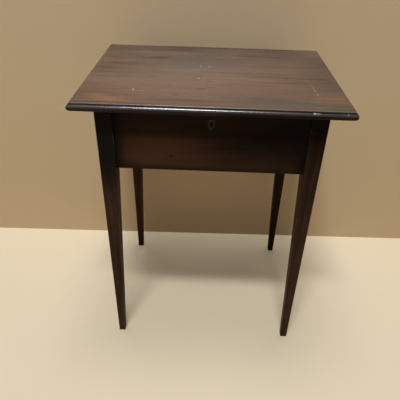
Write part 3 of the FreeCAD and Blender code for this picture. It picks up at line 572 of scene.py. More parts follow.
@effect("Joint dirt and shade", ("Mask",), Reach=0.02, Shade=0.0)
def joint_dirt_and_shade(tree, given):
    """Dirt and painted shade where the aprons meet the legs: a thin dark line of dirt, and a soft painted
    shade beside it.
    """
    place = node(tree, "SeparateXYZ", {0: given["Vector"]}).outputs
    away = gap(tree, math_node(tree, "ABSOLUTE", place["X"]), LEGS_FAR.x)
    for corner in (LEGS_NEAR, LEGS_FAR):
        away = math_node(tree, "MINIMUM", away, gap(tree, place["Y"], corner.y))
    line = remap(tree, away, 2.4 * MM, 0.6 * MM, 0.0, 0.9)
    shade = times(tree, remap(tree, away, given["Reach"], 0.0), given["Shade"])
    above = math_node(tree, "GREATER_THAN", place["Z"], APRON_FOOT)
    return {"Mask": times(tree, math_node(tree, "MAXIMUM", line, shade), above)}


@effect("Tarnish", ("Mask", "Height"), Low=0.4, High=0.65)
def tarnish(tree, given):
    """Blotches and fine scratches on old metal."""
    blotch = noise(tree, given["Vector"], scale=160, detail=6.0, roughness=0.65)
    scratches = streaks(tree, given["Vector"], along=150, across=2400)
    return {"Mask": remap(tree, blotch, given["Low"], given["High"]),
            "Height": plus(tree, blotch, times(tree, scratches, 0.4))}


# Finishes

GRAIN_TURNS = {"X": (0, 0, 0), "Y": (0, 0, -QUARTER), "Z": (0, QUARTER, 0)}
PORE = (0.012, 0.006, 0.004)
DIRT = (0.020, 0.012, 0.009)
RED_CLOUD = (0.215, 0.098, 0.062)
GREY_CLOUD = (0.098, 0.080, 0.062)
# Dirt in the joints of the aprons and legs, with the painted shade beside them, and how far that shade
# reaches
JOINT_DIRT_AND_SHADE = (0.004, 0.0028, 0.002)
JOINT_REACH = 34 * MM
# Grime and painted shade on the lid's moulding
MOULDING_GRIME_AND_SHADE = (0.0052, 0.0046, 0.0062)
BARE_PORE = (0.05, 0.028, 0.016)
BARE_DIRT = (0.065, 0.042, 0.028)
BARE_RUB = (0.34, 0.24, 0.15)


def sawn_board(tree, axis, shift, wear, figure, streak, pores):
    """A board's coordinates, the same along its grain, its grain, its rounded edges and its wear.

    Shift is the place in the wood that the board is sawn from, so that no two boards look alike.
    """
    place = object_place(tree)
    turn = GRAIN_TURNS[axis]
    along = node(tree, "Mapping", {"Vector": place, "Rotation": turn, "Location": shift}).outputs["Vector"]
    grain = wood_grain(tree, {"Vector": along, "Broad": figure, "Streak": streak, "Pores": pores})
    arris = stored(tree, "arris")
    return place, along, grain, arris, hand_wear(tree, {"Vector": place, "Arris": arris, "Amount": wear})


def greyed(tone, grey):
    mean = sum(tone) / len(tone)
    return [part * (1 - grey) + mean * grey for part in tone]


@finish
def polished_wood(tree, axis, shift, gloss, deep=0.45, grey=-0.2, wear=0.25, shine=0.04, bare=0.0,
                  figure=0.55, streak=0.38, clouds=0.0, joints=None, marks=(), glints=()):
    """Dark finished wood.

    Deep scales its colour and grey dulls it, or warms it below nought. Its edges are rubbed in patches by
    wear and all along by bare. Figure and streak are the strength of the broad and narrow bands of its grain,
    clouds that of its redder and greyer clouds, and joints how dark it is beside the legs, from dirt and
    painted shade. Marks, among them painted shade and painted sheen, are painted under the grime and painted
    shade of the moulding, and glints, which are painted highlights, over it.
    """
    look = finishes()
    place, along, grain, arris, worn = sawn_board(tree, axis, shift, wear, figure, streak, pores=0.8)
    dark, middle, light = (rgba(scaled(greyed(tone, grey), deep))
                           for tone in (look.wood_dark, look.wood_middle, look.wood_light))
    paint = mix(tree, remap(tree, grain["Tone"], 0.0, 0.5), dark, middle)
    paint = mix(tree, remap(tree, grain["Tone"], 0.5, 1.0), paint, light)
    paint = wash(tree, paint, grain["Pore"], share=0.5, tint=PORE)
    paint = wash(tree, paint, worn["Dirt"], share=0.30, tint=DIRT)
    if clouds:
        cloud = mottle(tree, {"Vector": along})
        paint = wash(tree, paint, cloud["Red"], clouds, RED_CLOUD)
        paint = wash(tree, paint, cloud["Grey"], clouds, GREY_CLOUD)
    for mark in marks:
        paint = mark(tree, place, paint)
    # Dirt and painted shade beside the legs: a thin dark line in the joint, and a soft shade painted out from
    # it
    if joints is not None:
        dirt = joint_dirt_and_shade(tree, {"Vector": place, "Reach": JOINT_REACH, "Shade": joints})["Mask"]
        paint = mix(tree, dirt, paint, rgba(JOINT_DIRT_AND_SHADE))
    moulded = stored(tree, "moulding")
    # Grime and painted shade on the moulding: near black over the nose, fullest in the corner under the step
    paint = wash(tree, paint, moulded, remap(tree, worn["Dirt"], -1.0, 0.4), MOULDING_GRIME_AND_SHADE)
    rubbed = math_node(tree, "MAXIMUM", worn["Rub"], times(tree, arris, bare))
    paint = mix(tree, rubbed, paint, rgba(look.worn_wood))
    # Painted highlights: pale glints laid over everything else
    for nick in glints:
        paint = nick(tree, place, paint)
    # Clean dark wood is smoother than the gloss says, and dirt, light grain and grime are rougher
    rough = gloss - 0.06
    for mask, share in ((worn["Dirt"], 0.14), (grain["Tone"], 0.06), (moulded, 0.30)):
        rough = plus(tree, rough, times(tree, mask, share))
    sway = bump(tree, worn["Sway"], strength=0.25, depth=2 * MM)
    return {"Base Color": paint, "Roughness": rough, "Specular IOR Level": shine,
            "Normal": bump(tree, grain["Height"], strength=0.35, depth=0.25 * MM, Normal=sway),
            "Coat Weight": stored(tree, "polish"), "Coat Roughness": 0.22, "Coat IOR": 1.68}


@finish
def bare_wood(tree, axis, shift, deep):
    """Secondary wood that never had a finish, browned by age. Deep scales its colour."""
    look = finishes()
    grain, _, worn = sawn_board(tree, axis, shift, wear=0.5, figure=0.42, streak=0.34, pores=0.35)[2:]
    dark, light = (rgba(scaled(tone, deep)) for tone in (look.bare_dark, look.bare_light))
    paint = mix(tree, remap(tree, grain["Tone"], 0.1, 0.95), dark, light)
    for mask, share, tint in ((grain["Pore"], 0.4, BARE_PORE), (worn["Dirt"], 0.45, BARE_DIRT),
                              (worn["Rub"], 0.5, BARE_RUB)):
        paint = wash(tree, paint, mask, share, tint)
    sway = bump(tree, worn["Sway"], strength=0.3, depth=2 * MM)
    return {"Base Color": paint, "Roughness": remap(tree, worn["Dirt"], 0.0, 1.0, 0.72, 0.86),
            "Normal": bump(tree, grain["Height"], strength=0.6, depth=0.4 * MM, Normal=sway),
            "Specular IOR Level": 0.25}


@finish
def old_metal(tree, clean, skin, cover, rough, metallic=1.0, shine=0.5):
    """Metal with a skin of tarnish or rust over part of it, and its roughness bare and under that skin."""
    spread = tarnish(tree, {"Vector": object_place(tree), "Low": cover[0], "High": cover[1]})
    mask = spread["Mask"]
    through_skin = 0.4
    return {"Base Color": mix(tree, mask, rgba(clean), rgba(skin)),
            "Roughness": remap(tree, mask, 0.0, 1.0, *rough),
            "Metallic": remap(tree, mask, 0.0, 1.0, metallic, metallic * through_skin),
            "Normal": bump(tree, spread["Height"], strength=0.3, depth=0.3 * MM), "Specular IOR Level": shine}


def brass():
    look = finishes()
    return old_metal("old_brass", look.brass, look.brass_tarnish, cover=(0.30, 0.58), rough=(0.34, 0.62))


def iron():
    look = finishes()
    return old_metal("bare_iron", look.iron, look.rust, cover=(0.40, 0.68), rough=(0.42, 0.80))


def black_iron():
    look = finishes()
    return old_metal("oiled_iron", scaled(look.iron, 0.22), scaled(look.rust, 0.35), cover=(0.40, 0.70),
                     rough=(0.55, 0.85), metallic=0.35)


def inlay_metal():
    look = finishes()
    return old_metal("tarnished_inlay", look.inlay, scaled(look.inlay, 0.55), cover=(0.40, 0.70),
                     rough=(0.42, 0.60), metallic=0.25, shine=0.22)


# Marks on the boards

class Marks(NamedTuple):
    """Marks of one kind, with ragged rims, and full colour inside a core.

    Each spot has its place from the table's middle and its reach both ways in millimetres, then how far it
    shows and its turn in radians. On an upright board the second way is the height.
    """
    tint: tuple
    ragged: float
    core: float
    spots: tuple
    part: str = "Mask"


# Lighter rubbed middle of the lid's top: partly wear, partly a painted sheen
FRONT_RUB_AND_SHEEN = Marks((0.224, 0.150, 0.116), 0.35, 0.0, ((-55, -50, 345, 250, 0.60, 0),))
REAR_RUB_AND_SHEEN = FRONT_RUB_AND_SHEEN._replace(tint=(0.212, 0.160, 0.132))
DARK_ENDS = Marks((0.058, 0.038, 0.028), 0.4, 0.0, (
    (325, 20, 130, 330, 0.55, 0), (-330, 235, 170, 200, 0.65, 0)))
FADED = Marks((0.28, 0.135, 0.070), 0.9, 0.0, (
    (-236, -186, 84, 14, 0.68, 0.03), (-215, -200, 70, 9, 0.68, 0.03), (-250, -172, 46, 8, 0.68, 0.03)))
BROWN_STAIN = Marks((0.125, 0.080, 0.060), 0.8, 0.0, ((140, -120, 190, 75, 0.35, 0.05),))
GREY_STAIN = Marks((0.074, 0.065, 0.062), 0.8, 0.0, ((160, -186, 170, 42, 0.75, 0.05),))
DENT = Marks((0.045, 0.027, 0.020), 0.35, 0.6, ((-36, -46, 9, 19, 0.55, 0.1),), "Ring")
DARK_STREAKS = Marks((0.055, 0.034, 0.025), 0.7, 0.1, (
    (-8, -69, 11, 5, 0.75, 0.66), (-27, -119, 20, 7, 0.55, 0), (0, -109, 19, 6, 0.45, 0),
    (-82, -158, 15, 6, 0.5, 0)))
FRONT_SPECKS = Marks((0.74, 0.68, 0.62), 0.9, 0.4, (
    (-177, -136, 1.2, 9, 0.70, 0.04), (-162, -143, 13, 1.4, 0.22, 0), (-88, -96, 1.8, 2.4, 0.80, 0.5),
    (-33, -47, 0.9, 6, 0.80, 0.1), (231, -66, 0.8, 9, 0.25, -0.06), (232, -86, 0.9, 8, 0.42, -0.06),
    (233.4, -107, 1.0, 11, 0.62, -0.06), (235, -131, 1.1, 8, 0.62, -0.06), (236.7, -154, 1.0, 5, 0.3, -0.06)))
DARK_DROP = Marks((0.035, 0.025, 0.016), 0.4, 0.4, ((-140, 112, 38, 10, 0.80, -0.2),))
REAR_SPECKS = Marks((0.82, 0.77, 0.71), 0.9, 0.4, (
    (-31, 46, 2.8, 3.2, 0.66, 0.1), (-9, 44, 1.4, 8, 0.42, 0.1)))
# Painted highlights: pale glints at small knocks on the lid's front edge
NOSE_GLINTS = Marks((0.60, 0.62, 0.64), 0.5, 0.2, (
    (212, -227, 4, 2.4, 0.60, 0), (219, -227, 8, 2.4, 0.20, 0), (281, -227, 2.5, 2.4, 0.2, 0),
    (-118, -227, 4, 2.4, 0.2, 0)))
# Redder, lighter patch low on the front apron's left: partly the wood's figure, partly a painted reflection
RED_FIGURE_AND_REFLECTION = Marks((0.106, 0.044, 0.021), 0.4, 0.0, ((-115, 626, 200, 82, 0.80, 0),))
# Painted shade: the front apron made darker towards its upper right, where less light is reflected
UPPER_RIGHT_SHADE = Marks((0.005, 0.0028, 0.0016), 0.4, 0.0, ((205, 655, 310, 130, 0.92, 0),))
KNOT = Marks((0.014, 0.007, 0.004), 0.6, 0.1, ((-88, 607, 7, 3.5, 0.8, 0.2),))


def lay(tree, place, paint, kind, within=None):
    """Paint with marks of one kind over it, inside a mask where one is given."""
    for x, y, reach_x, reach_y, show, turn in kind.spots:
        spot = soft_spot(tree, {"Vector": place, "Centre": (x * MM, y * MM, 0),
                                "Reach": (reach_x * MM, reach_y * MM, 1), "Turn": turn,
                                "Ragged": kind.ragged, "Core": kind.core})
        share = show if within is None else times(tree, within, show)
        paint = wash(tree, paint, spot[kind.part], share, kind.tint)
    return paint


def marked(*kinds, upright=False):
    """A painter of marks, one kind after the other."""
    def lay_all(tree, place, paint):
        if upright:
            place = node(tree, "Mapping", {"Vector": place, "Rotation": (-QUARTER, 0, 0)}).outputs["Vector"]
        for kind in kinds:
            paint = lay(tree, place, paint, kind)
        return paint
    return lay_all


def nose_glints(tree, place, paint):
    """Painted highlights: pale glints at small knocks on the upper half of the lid's front edge."""
    upper = math_node(tree, "GREATER_THAN", height_of(tree, place), LID_UNDERSIDE + sizes().nose_radius)
    return lay(tree, place, paint, NOSE_GLINTS, upper)


def darkened(share, start, end, tint):
    """A painter that makes wood darker from one height to another."""
    def shade(tree, place, paint):
        return mix(tree, remap(tree, height_of(tree, place), start, end, 0.0, share), paint, rgba(tint))
    return shade


def shade_under_lid(share):
    """A painter of painted shade under the lid: wood made darker towards the lid, where its shadow falls."""
    return darkened(share, start=0.55, end=0.69, tint=(0.005, 0.003, 0.002))


# Looks of the legs: depth of colour, greyness, and the shade painted on them towards the lid. The rear right
# leg's low depth of colour is painted shade as well.
LEG_LOOKS = {
    "front_left": (0.56, 0.0, darkened(0.93, start=0.44, end=0.60, tint=(0.0065, 0.006, 0.0045))),
    "front_right": (0.45, -0.2, shade_under_lid(0.97)),
    "rear_left": (0.40, -0.2, shade_under_lid(0.93)),
    "rear_right": (0.17, -0.2, shade_under_lid(0.97)),
}
# Looks of the lid's boards: place in the grain, depth of colour, greyness and marks
LID_LOOKS = {
    "front": ((0.13, 0.21, 0.0), 1.08, 0.18, (FRONT_RUB_AND_SHEEN, DARK_ENDS, FADED, BROWN_STAIN, GREY_STAIN, DENT,
                                              DARK_STREAKS, FRONT_SPECKS)),
    "rear": ((0.35, 0.87, 0.3), 0.98, 0.50, (REAR_RUB_AND_SHEEN, DARK_ENDS, DARK_DROP, REAR_SPECKS)),
}
# What the aprons show: painted shade towards the lid on all of them; on the front one a redder patch that is
# partly figure and partly painted reflection, painted shade at its upper right, a knot and a dark lower edge
APRON_MARKS = {side: (shade_under_lid(0.6),) for side in APRONS}
APRON_MARKS["front"] = (marked(RED_FIGURE_AND_REFLECTION, UPPER_RIGHT_SHADE, KNOT, upright=True),
                        darkened(0.55, start=0.590, end=0.574, tint=(0.012, 0.007, 0.004)),
                        *APRON_MARKS["front"])
# Steps through the wood from one leg, and from one apron, to the next
LEG_STEP = (0.31, 0.17, 0)
APRON_STEP = (0.43, 0.29, 0.11)


# Pieces

class TAVERN_OT_legs(bpy.types.Operator):
    """Square posts, tapered on their inner faces below the aprons"""
    bl_idname = "tavern.legs"
    bl_label = "Legs"

    def execute(self, context):
        master = tapered_post()
        start = Matrix.Translation(-centre(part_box("leg_front_left")))
        for corner, turn in LEGS.items():
            name = f"leg_{corner}"
            place = Matrix.Translation(centre(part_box(name)))
            move = place @ Matrix.Rotation(math.radians(turn), 4, "Z") @ start
            leg = moved_copy(master, f"{name}_post", move)
            dress(leg, leg_wood(corner))
            hand_over(leg, name)
        bpy.data.objects.remove(master)
        return {"FINISHED"}


def leg_wood(corner):
    deep, grey, shade = LEG_LOOKS[corner]
    shift = scaled(LEG_STEP, list(LEGS).index(corner))
    return polished_wood(f"upright_wood_{corner}", "Z", shift, finishes().frame_gloss, deep, grey, joints=0.0,
                         marks=(shade,))


def tapered_post():
    """The front left leg, drawn in towards its outer corner below the aprons."""
    low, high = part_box("leg_front_left")
    post = block("leg_master", low, high)
    with editing(post):
        bpy.ops.mesh.bisect(plane_co=(0, 0, APRON_FOOT), plane_no=UP)
        pick(post, "FACE", lambda face: face.normal.z < -SQUARE)
        ratio = foot_width("leg_front_left") / (high.x - low.x)
        bpy.ops.transform.resize(value=(ratio, ratio, 1), center_override=(low.x, low.y, 0))
    soften(post, sizes().arris)
    return post


def foot_width(name):
    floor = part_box(name)[0].z
    foot = [vertex.co.x for vertex in NODES[name].data.vertices if vertex.co.z < floor + NEAR]
    return max(foot) - min(foot)


class TAVERN_OT_aprons(bpy.types.Operator):
    """Boards between the legs, with the seat of the lock and the keyhole in the front one"""
    bl_idname = "tavern.aprons"
    bl_label = "Aprons"

    def execute(self, context):
        for count, (side, axis) in enumerate(APRONS.items()):
            name = f"apron_{side}"
            low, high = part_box(name)
            along = "XY".index(axis)
            low[along], high[along] = LEGS_NEAR[along], LEGS_FAR[along]
            apron = block(f"{name}_board", low, high)
            if side == "front":
                carve(apron, *lock_seats())
                carve(apron, shield("keyhole_tool", keyhole_box(low.y - MM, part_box("lock_case")[0].y + MM)))
                carve(apron, shield("inlay_seat", inlay_box(low.y - MM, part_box("keyhole_escutcheon")[1].y)))
            if side == "rear":
                carve(apron, *[leaf_seat(f"hinge_{end}_frame_leaf", behind=10 * MM, below=sizes().leaf_seat,
                                         above=CLEAR) for end in SIDES])
            soften(apron, sizes().fine_arris, steps=2)
            shift = scaled(APRON_STEP, count)
            dress(apron, polished_wood(f"apron_wood_{side}", axis, shift, finishes().frame_gloss, joints=0.95,
                                       marks=APRON_MARKS[side]),
                  bare_wood(f"well_wood_{side}", axis, shift, deep=0.62))
            middle, well_wood = (low + high) / 2, 1
            paint_faces(apron, well_wood, lambda face: looks_in(face, middle, 1 - along))
            hand_over(apron, name)
        return {"FINISHED"}


def looks_in(face, middle, across):
    """True for the faces on the well's side of an apron that lies across an axis."""
    inward = Vector()
    inward[across] = -middle[across]
    half_turned = 0.5
    return face.normal.dot(inward.normalized()) > half_turned and (face.center - middle).dot(inward) > 0


def lock_seats():
    """Tools for the lock's plate, its upper plate and its case."""
    room, plate = sizes().seat_room, sizes().lock_plate
    low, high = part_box("lock_backplate")
    case_low, case_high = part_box("lock_case")
    above, inside = high.z + CLEAR, high.y + CLEAR
    corner = (high.x + room, inside, above)
    return (block("plate_seat", (low.x - room, high.y - plate, low.z - room), corner),
            block("upper_seat", (low.x - room, low.y - room, high.z - plate), corner),
            block("case_seat", (case_low.x - room, case_low.y - room, case_low.z - room),
                  (case_high.x + room, inside, above)))


def leaf_seat(leaf, behind, below, above):
    """A tool for a hinge leaf, as far behind, below and above the hinge's pin as it has to cut."""
    room = sizes().seat_room
    low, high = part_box(leaf)
    return block("leaf_seat", (low.x - room, low.y - room, HINGE_PIN.z - below),
                 (high.x + room, HINGE_PIN.y + behind, HINGE_PIN.z + above))


def inlay_box(front, back):
    low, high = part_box("keyhole_escutcheon")
    return Vector((low.x, front, low.z)), Vector((high.x, back, high.z))


def keyhole_box(front, back):
    size = sizes()
    low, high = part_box("keyhole_escutcheon")
    middle, half = (low.x + high.x) / 2, size.keyhole_wide / 2
    top = high.z - size.keyhole_drop
    return Vector((middle - half, front, top - size.keyhole_tall)), Vector((middle + half, back, top))


def shield(name, box, pointed=0.65, steps=12, tip=0.02 * MM):
    """An upright block, a share of which draws in to a point below along two arcs."""
    low, high = box
    made = block(name, low, high)
    middle, wide = (low.x + high.x) / 2, (high.x - low.x) / 2
    point = (high.z - low.z) * pointed
    curve = (wide ** 2 + point ** 2) / (2 * wide)
    rises = [point * step / steps for step in range(steps + 1)]
    with editing(made):
        for rise in rises[1:]:
            bpy.ops.mesh.select_all(action="SELECT")
            bpy.ops.mesh.bisect(plane_co=(0, 0, low.z + rise), plane_no=UP)
        for rise in rises[:-1]:
            half = max(wide - (curve - math.sqrt(curve ** 2 - (point - rise) ** 2)), tip)
            pick(made, "EDGE", lambda edge: all(abs(end.co.z - low.z - rise) < NEAR for end in edge.verts))
            bpy.ops.transform.resize(value=(half / wide, 1, 1), center_override=(middle, 0, 0))
    return made


class TAVERN_OT_pegs(bpy.types.Operator):
    """Whittled pegs through the joints of the frame, left a little proud by shrinkage"""
    bl_idname = "tavern.pegs"
    bl_label = "Pegs"

    def execute(self, context):
        boxes = solids_of("tenon_pegs")
        moves = []
        for box in boxes:
            span = box[1] - box[0]
            axis = list(span).index(max(span))
            outward = Vector()
            outward[axis] = math.copysign(1, centre(box)[axis])
            moves.append(facing(centre(box) + outward * sizes().peg_proud, outward))
        piece = repeated("joint_pegs", whittled_peg(boxes[0]), moves)
        mark_arris(piece)
        smooth(piece, degrees=30)
        dress(piece, *[leg_wood(corner) for corner in LEGS])
        for index, corner in enumerate(LEGS):
            paint_faces(piece, index, lambda face: corner == corner_at(face.center))
        hand_over(piece, "tenon_pegs")
        return {"FINISHED"}


def corner_at(place):
    return f"{'front' if place.y < 0 else 'rear'}_{'left' if place.x < 0 else 'right'}"


def whittled_peg(box, sides=8):
    """A many-sided peg round the Z axis, with its upper end eased."""
    span = box[1] - box[0]
    peg = bar("peg_master", sides, min(span) / 2 / math.cos(math.pi / sides), (0, 0, 0), max(span))
    with editing(peg):
        pick(peg, "FACE", lambda face: face.normal.z > SQUARE)
        bpy.ops.mesh.bevel(offset=sizes().peg_ease, segments=2)
    return peg


class TAVERN_OT_well(bpy.types.Operator):
    """Floor boards of the well, notched round the legs, and the strips and nails under them"""
    bl_idname = "tavern.well"
    bl_label = "Well"

    def execute(self, context):
        room = Vector((1, 1, 0)) * sizes().seat_room * 2
        for count, side in enumerate(("front", "rear")):
            name = f"floor_board_{side}"
            plank = block(f"{name}_plank", *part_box(name))
            for end in SIDES:
                leg_low, leg_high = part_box(f"leg_{side}_{end}")
                carve(plank, block("leg_notch", leg_low - room, leg_high + room))
            soften(plank, sizes().floor_arris, steps=2)
            shift = (0.2 + 0.5 * count, 0.3, 0.07 * count)
            dress(plank, bare_wood(f"floor_wood_{side}", "X", shift, deep=0.9))
            hand_over(plank, name)
        for side, axis in APRONS.items():
            dress(NODES[f"ledger_{side}"], bare_wood(f"strip_wood_{axis}", axis, (0.7, 0.2, 0.4), deep=0.8))
        dress(NODES["ledger_nails"], iron())
        return {"FINISHED"}


class TAVERN_OT_lid(bpy.types.Operator):
    """Two glued boards with a moulded edge all round"""
    bl_idname = "tavern.lid"
    bl_label = "Lid"

    def execute(self, context):
        front = named(lid_blank(), "lid_front_board_top")
        rear = copy_of(front, "lid_rear_board_top")
        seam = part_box("lid_front_board")[1].y
        for top in (front, rear):
            with editing(top):
                bpy.ops.mesh.bisect(plane_co=(0, seam, 0), plane_no=(0, 1, 0), use_fill=True,
                                    clear_outer=top is front, clear_inner=top is rear)
        carve(front, link_seat())
        carve(rear, *lid_leaf_seats())
        edge = SOLID_BOX[1].z - sizes().step_wear
        underside_wood, edge_wood = 1, 2
        for side, top in (("front", front), ("rear", rear)):
            mark_lid(top)
            smooth(top, degrees=50)
            dress(top, *lid_woods(side))
            paint_faces(top, edge_wood, lambda face: face.center.z < edge)
            paint_faces(top, underside_wood, lambda face: face.normal.z < -SQUARE or in_seat(face))
            hand_over(top, f"lid_{side}_board")
        return {"FINISHED"}


def lid_woods(side):
    """A lid board's top, underside and edge."""
    look = finishes()
    shift, deep, grey, kinds = LID_LOOKS[side]
    return (polished_wood(f"lid_wood_{side}", "X", shift, look.lid_gloss, deep, grey, wear=0.7, shine=0.42,
                          bare=0.12, figure=0.36, streak=0.8, clouds=0.4, marks=(marked(*kinds),)),
            bare_wood(f"lid_underside_{side}", "X", (0.3, 0.8, 0.2), deep=0.6),
            polished_wood("lid_edge_wood", "X", (0.4, 0.1, 0.2), look.frame_gloss, deep=0.85, grey=0.7,
                          shine=0.12, glints=(nose_glints,)))


def in_seat(face):
    """True inside the seats cut up into the lid."""
    inset = 1.5 * sizes().nose_radius
    deepest = 5 * MM
    low, high = SOLID_BOX
    inside = all(low[axis] + inset < face.center[axis] < high[axis] - inset for axis in (0, 1))
    return inside and face.center.z < LID_UNDERSIDE + deepest


def lid_profile():
    """Inset from the lid's edge and height above its underside, from the flat below to the flat on top."""
    size = sizes()
    radius, step, wear = size.nose_radius, size.step_inset, size.step_wear
    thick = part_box("lid_front_board")[1].z - LID_UNDERSIDE
    top_turn = math.acos((radius - step) / radius)
    wear_steps = 3
    points = []
    for count in range(size.nose_steps + 1):
        turn = -QUARTER + (QUARTER + top_turn) * count / size.nose_steps
        points.append((radius - radius * math.cos(turn), radius + radius * math.sin(turn)))
    for count in range(wear_steps + 1):
        turn = QUARTER * count / wear_steps
        points.append((step + wear - wear * math.cos(turn), thick - wear + wear * math.sin(turn)))
    return points


def lid_blank():
    """The moulded lid in one piece, drawn up strip by strip along its section."""
    low, high = SOLID_BOX
    middle, half = (low + high) / 2, (high - low) / 2
    points = lid_profile()
    inset = points[0][0]
    blank = block("lid_blank", (middle.x - half.x + inset, middle.y - half.y + inset, LID_UNDERSIDE),
                  (middle.x + half.x - inset, middle.y + half.y - inset, LID_UNDERSIDE + points[1][1]))
    with editing(blank):
        pick(blank, "FACE", lambda face: face.normal.z > SQUARE)
        for count, (inset, height) in enumerate(points[1:], 1):
            before, before_height = points[count - 1]
            if count > 1:
                bpy.ops.mesh.extrude_region_move(
                    TRANSFORM_OT_translate={"value": (0, 0, height - before_height)})
            bpy.ops.transform.resize(value=((half.x - inset) / (half.x - before),
                                            (half.y - inset) / (half.y - before), 1),
                                     center_override=(middle.x, middle.y, 0))
        pick(blank, "EDGE", is_mitre)
        bpy.ops.mesh.bevel(offset=sizes().corner_wear, segments=4)
        bpy.ops.mesh.select_all(action="SELECT")
        bpy.ops.mesh.normals_make_consistent(inside=False)
    return blank


def is_mitre(edge):
    """True for an edge that runs both ways at once, or straight up."""
    along = edge.verts[1].co - edge.verts[0].co
    return (abs(along.x) > NEAR) == (abs(along.y) > NEAR)


# Grime and painted shade on the lid's nose. It rises to full at the step, where the step's shadow line is
# painted, between these turns up the round in degrees
NOSE_GRIME_AND_SHADE = 0.88
STEP_GRIME_AND_SHADE = (52, 64)
# Turns up the round over which the polish from hands sets in, and dies away again
POLISH_BEGINS = (8, 20)
POLISH_ENDS = (57, 51)


def mark_lid(top):
    """Marks the lid's rounded upper edge, the moulding where dirt gathers and shade is painted, and what
    hands keep polished.
    """
    size = sizes()
    flat = SOLID_BOX[1].z - NEAR
    edge = flat - size.step_wear
    inside_step = 0.1 * MM
    step = LID_UNDERSIDE + lid_profile()[size.nose_steps][1] - inside_step
    upright, level = 0.1, 0.98
    arris = [float(upright < face.normal.z < level and face.center.z > edge) for face in top.data.polygons]
    moulding, polish = [], []
    for vertex in top.data.vertices:
        height = vertex.co.z
        turn = math.degrees(math.asin(max(-1, min(1, (height - LID_UNDERSIDE) / size.nose_radius - 1))))
        if height > edge:
            moulding.append(0.0)
            polish.append(float(height <= flat))
        elif height < step:
            moulding.append(NOSE_GRIME_AND_SHADE + (1 - NOSE_GRIME_AND_SHADE) * ramp(turn, *STEP_GRIME_AND_SHADE))
            polish.append(ramp(turn, *POLISH_BEGINS) * ramp(turn, *POLISH_ENDS))
        else:
            moulding.append(1.0)
            polish.append(0.0)
    store(top, "arris", "FACE", arris)
    store(top, "moulding", "POINT", moulding)
    store(top, "polish", "POINT", polish)


def ramp(value, low, high):
    return max(0.0, min(1.0, (value - low) / (high - low)))


def link_seat():
    room = sizes().seat_room
    low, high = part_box("link_plate")
    return block("link_seat", (low.x - room, low.y - room, LID_UNDERSIDE - CLEAR),
                 (high.x + room, high.y + room, high.z))


def lid_leaf_seats():
    """Tools for the upper hinge leaves and for the knuckles that stand half in the lid."""
    size = sizes()
    tools = []
    for side in SIDES:
        tools.append(leaf_seat(f"hinge_{side}_lid_leaf", behind=0, below=CLEAR, above=size.leaf_seat))
        low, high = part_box(f"hinge_{side}_pin")
        middle = ((low.x + high.x) / 2, HINGE_PIN.y, HINGE_PIN.z)
        long = high.x - low.x + 2 * size.seat_room
        tools.append(bar("knuckle_groove", sides=40, radius=size.groove_radius, middle=middle, long=long,
                         turn=(0, QUARTER, 0)))
    return tools


class TAVERN_OT_battens(bpy.types.Operator):
    """Cross battens that keep the lid flat"""
    bl_idname = "tavern.battens"
    bl_label = "Battens"

    def execute(self, context):
        master = chamfered_batten()
        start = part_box("lid_batten_left")[0]
        for count, side in enumerate(SIDES):
            name = f"lid_batten_{side}"
            batten = moved_copy(master, f"{name}_bar", Matrix.Translation(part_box(name)[0] - start))
            dress(batten, bare_wood(f"batten_wood_{side}", "Y", (0.6 * count, 0.1, 0.2), deep=0.7))
            hand_over(batten, name)
        bpy.data.objects.remove(master)
        return {"FINISHED"}


def chamfered_batten():
    """The left batten, with bevelled ends and its screws' countersinks."""
    size = sizes()
    low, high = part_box("lid_batten_left")
    batten = block("batten_master", low, high)
    with editing(batten):
        pick(batten, "EDGE", lambda edge: all(end.co.z < low.z + MM for end in edge.verts)
             and abs(edge.verts[0].co.y - edge.verts[1].co.y) < MM)
        bpy.ops.mesh.bevel(offset=size.batten_chamfer, segments=1)
    for box in solids_of("batten_screws"):
        if low.x < centre(box).x < high.x:
            carve(batten, sink_tool(box))
    soften(batten, size.arris, steps=2)
    return batten


def sink_tool(box, room=0.1 * MM, below=MM, past=0.8 * MM, narrowing=0.45):
    """A countersink for an upward screw, with room round its head, begun below it."""
    low, high = box
    radius = (high.x - low.x) / 2 + room
    deep = radius + past
    fresh()
    place = (*centre(box).xy, low.z - below + deep / 2)
    bpy.ops.mesh.primitive_cone_add(vertices=32, radius1=radius + below, radius2=radius * narrowing,
                                    depth=deep, location=place)
    return settle("countersink")


class TAVERN_OT_hinges(bpy.types.Operator):
    """Brass butt hinges"""
    bl_idname = "tavern.hinges"
    bl_label = "Hinges"

    def execute(self, context):
        for side in SIDES:
            for part in ("frame_leaf", "lid_leaf", "pin"):
                dress(NODES[f"hinge_{side}_{part}"], brass())
        return {"FINISHED"}


class TAVERN_OT_lock(bpy.types.Operator):
    """Box lock in the front apron, and the plate with its eyes under the lid"""
    bl_idname = "tavern.lock"
    bl_label = "Lock"

    def execute(self, context):
        for name in ("lock_backplate", "lock_bolt", "link_plate"):
            dress(NODES[name], brass())
        for name in ("lock_key_post", "lock_guide_pins", "lock_spring"):
            dress(NODES[name], iron())
        dress(NODES["lock_case"], black_iron())
        return {"FINISHED"}


class TAVERN_OT_escutcheon(bpy.types.Operator):
    """Shield-shaped inlay round the keyhole"""
    bl_idname = "tavern.escutcheon"
    bl_label = "Escutcheon"

    def execute(self, context):
        low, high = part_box("keyhole_escutcheon")
        inlay = shield("keyhole_inlay", (low, high))
        carve(inlay, shield("keyhole_tool", keyhole_box(low.y - MM, high.y + MM)))
        soften(inlay, sizes().inlay_arris, steps=2)
        dress(inlay, inlay_metal())
        hand_over(inlay, "keyhole_escutcheon")
        return {"FINISHED"}


# Seed of the screws' odd angles
SCREW_SEED = 7
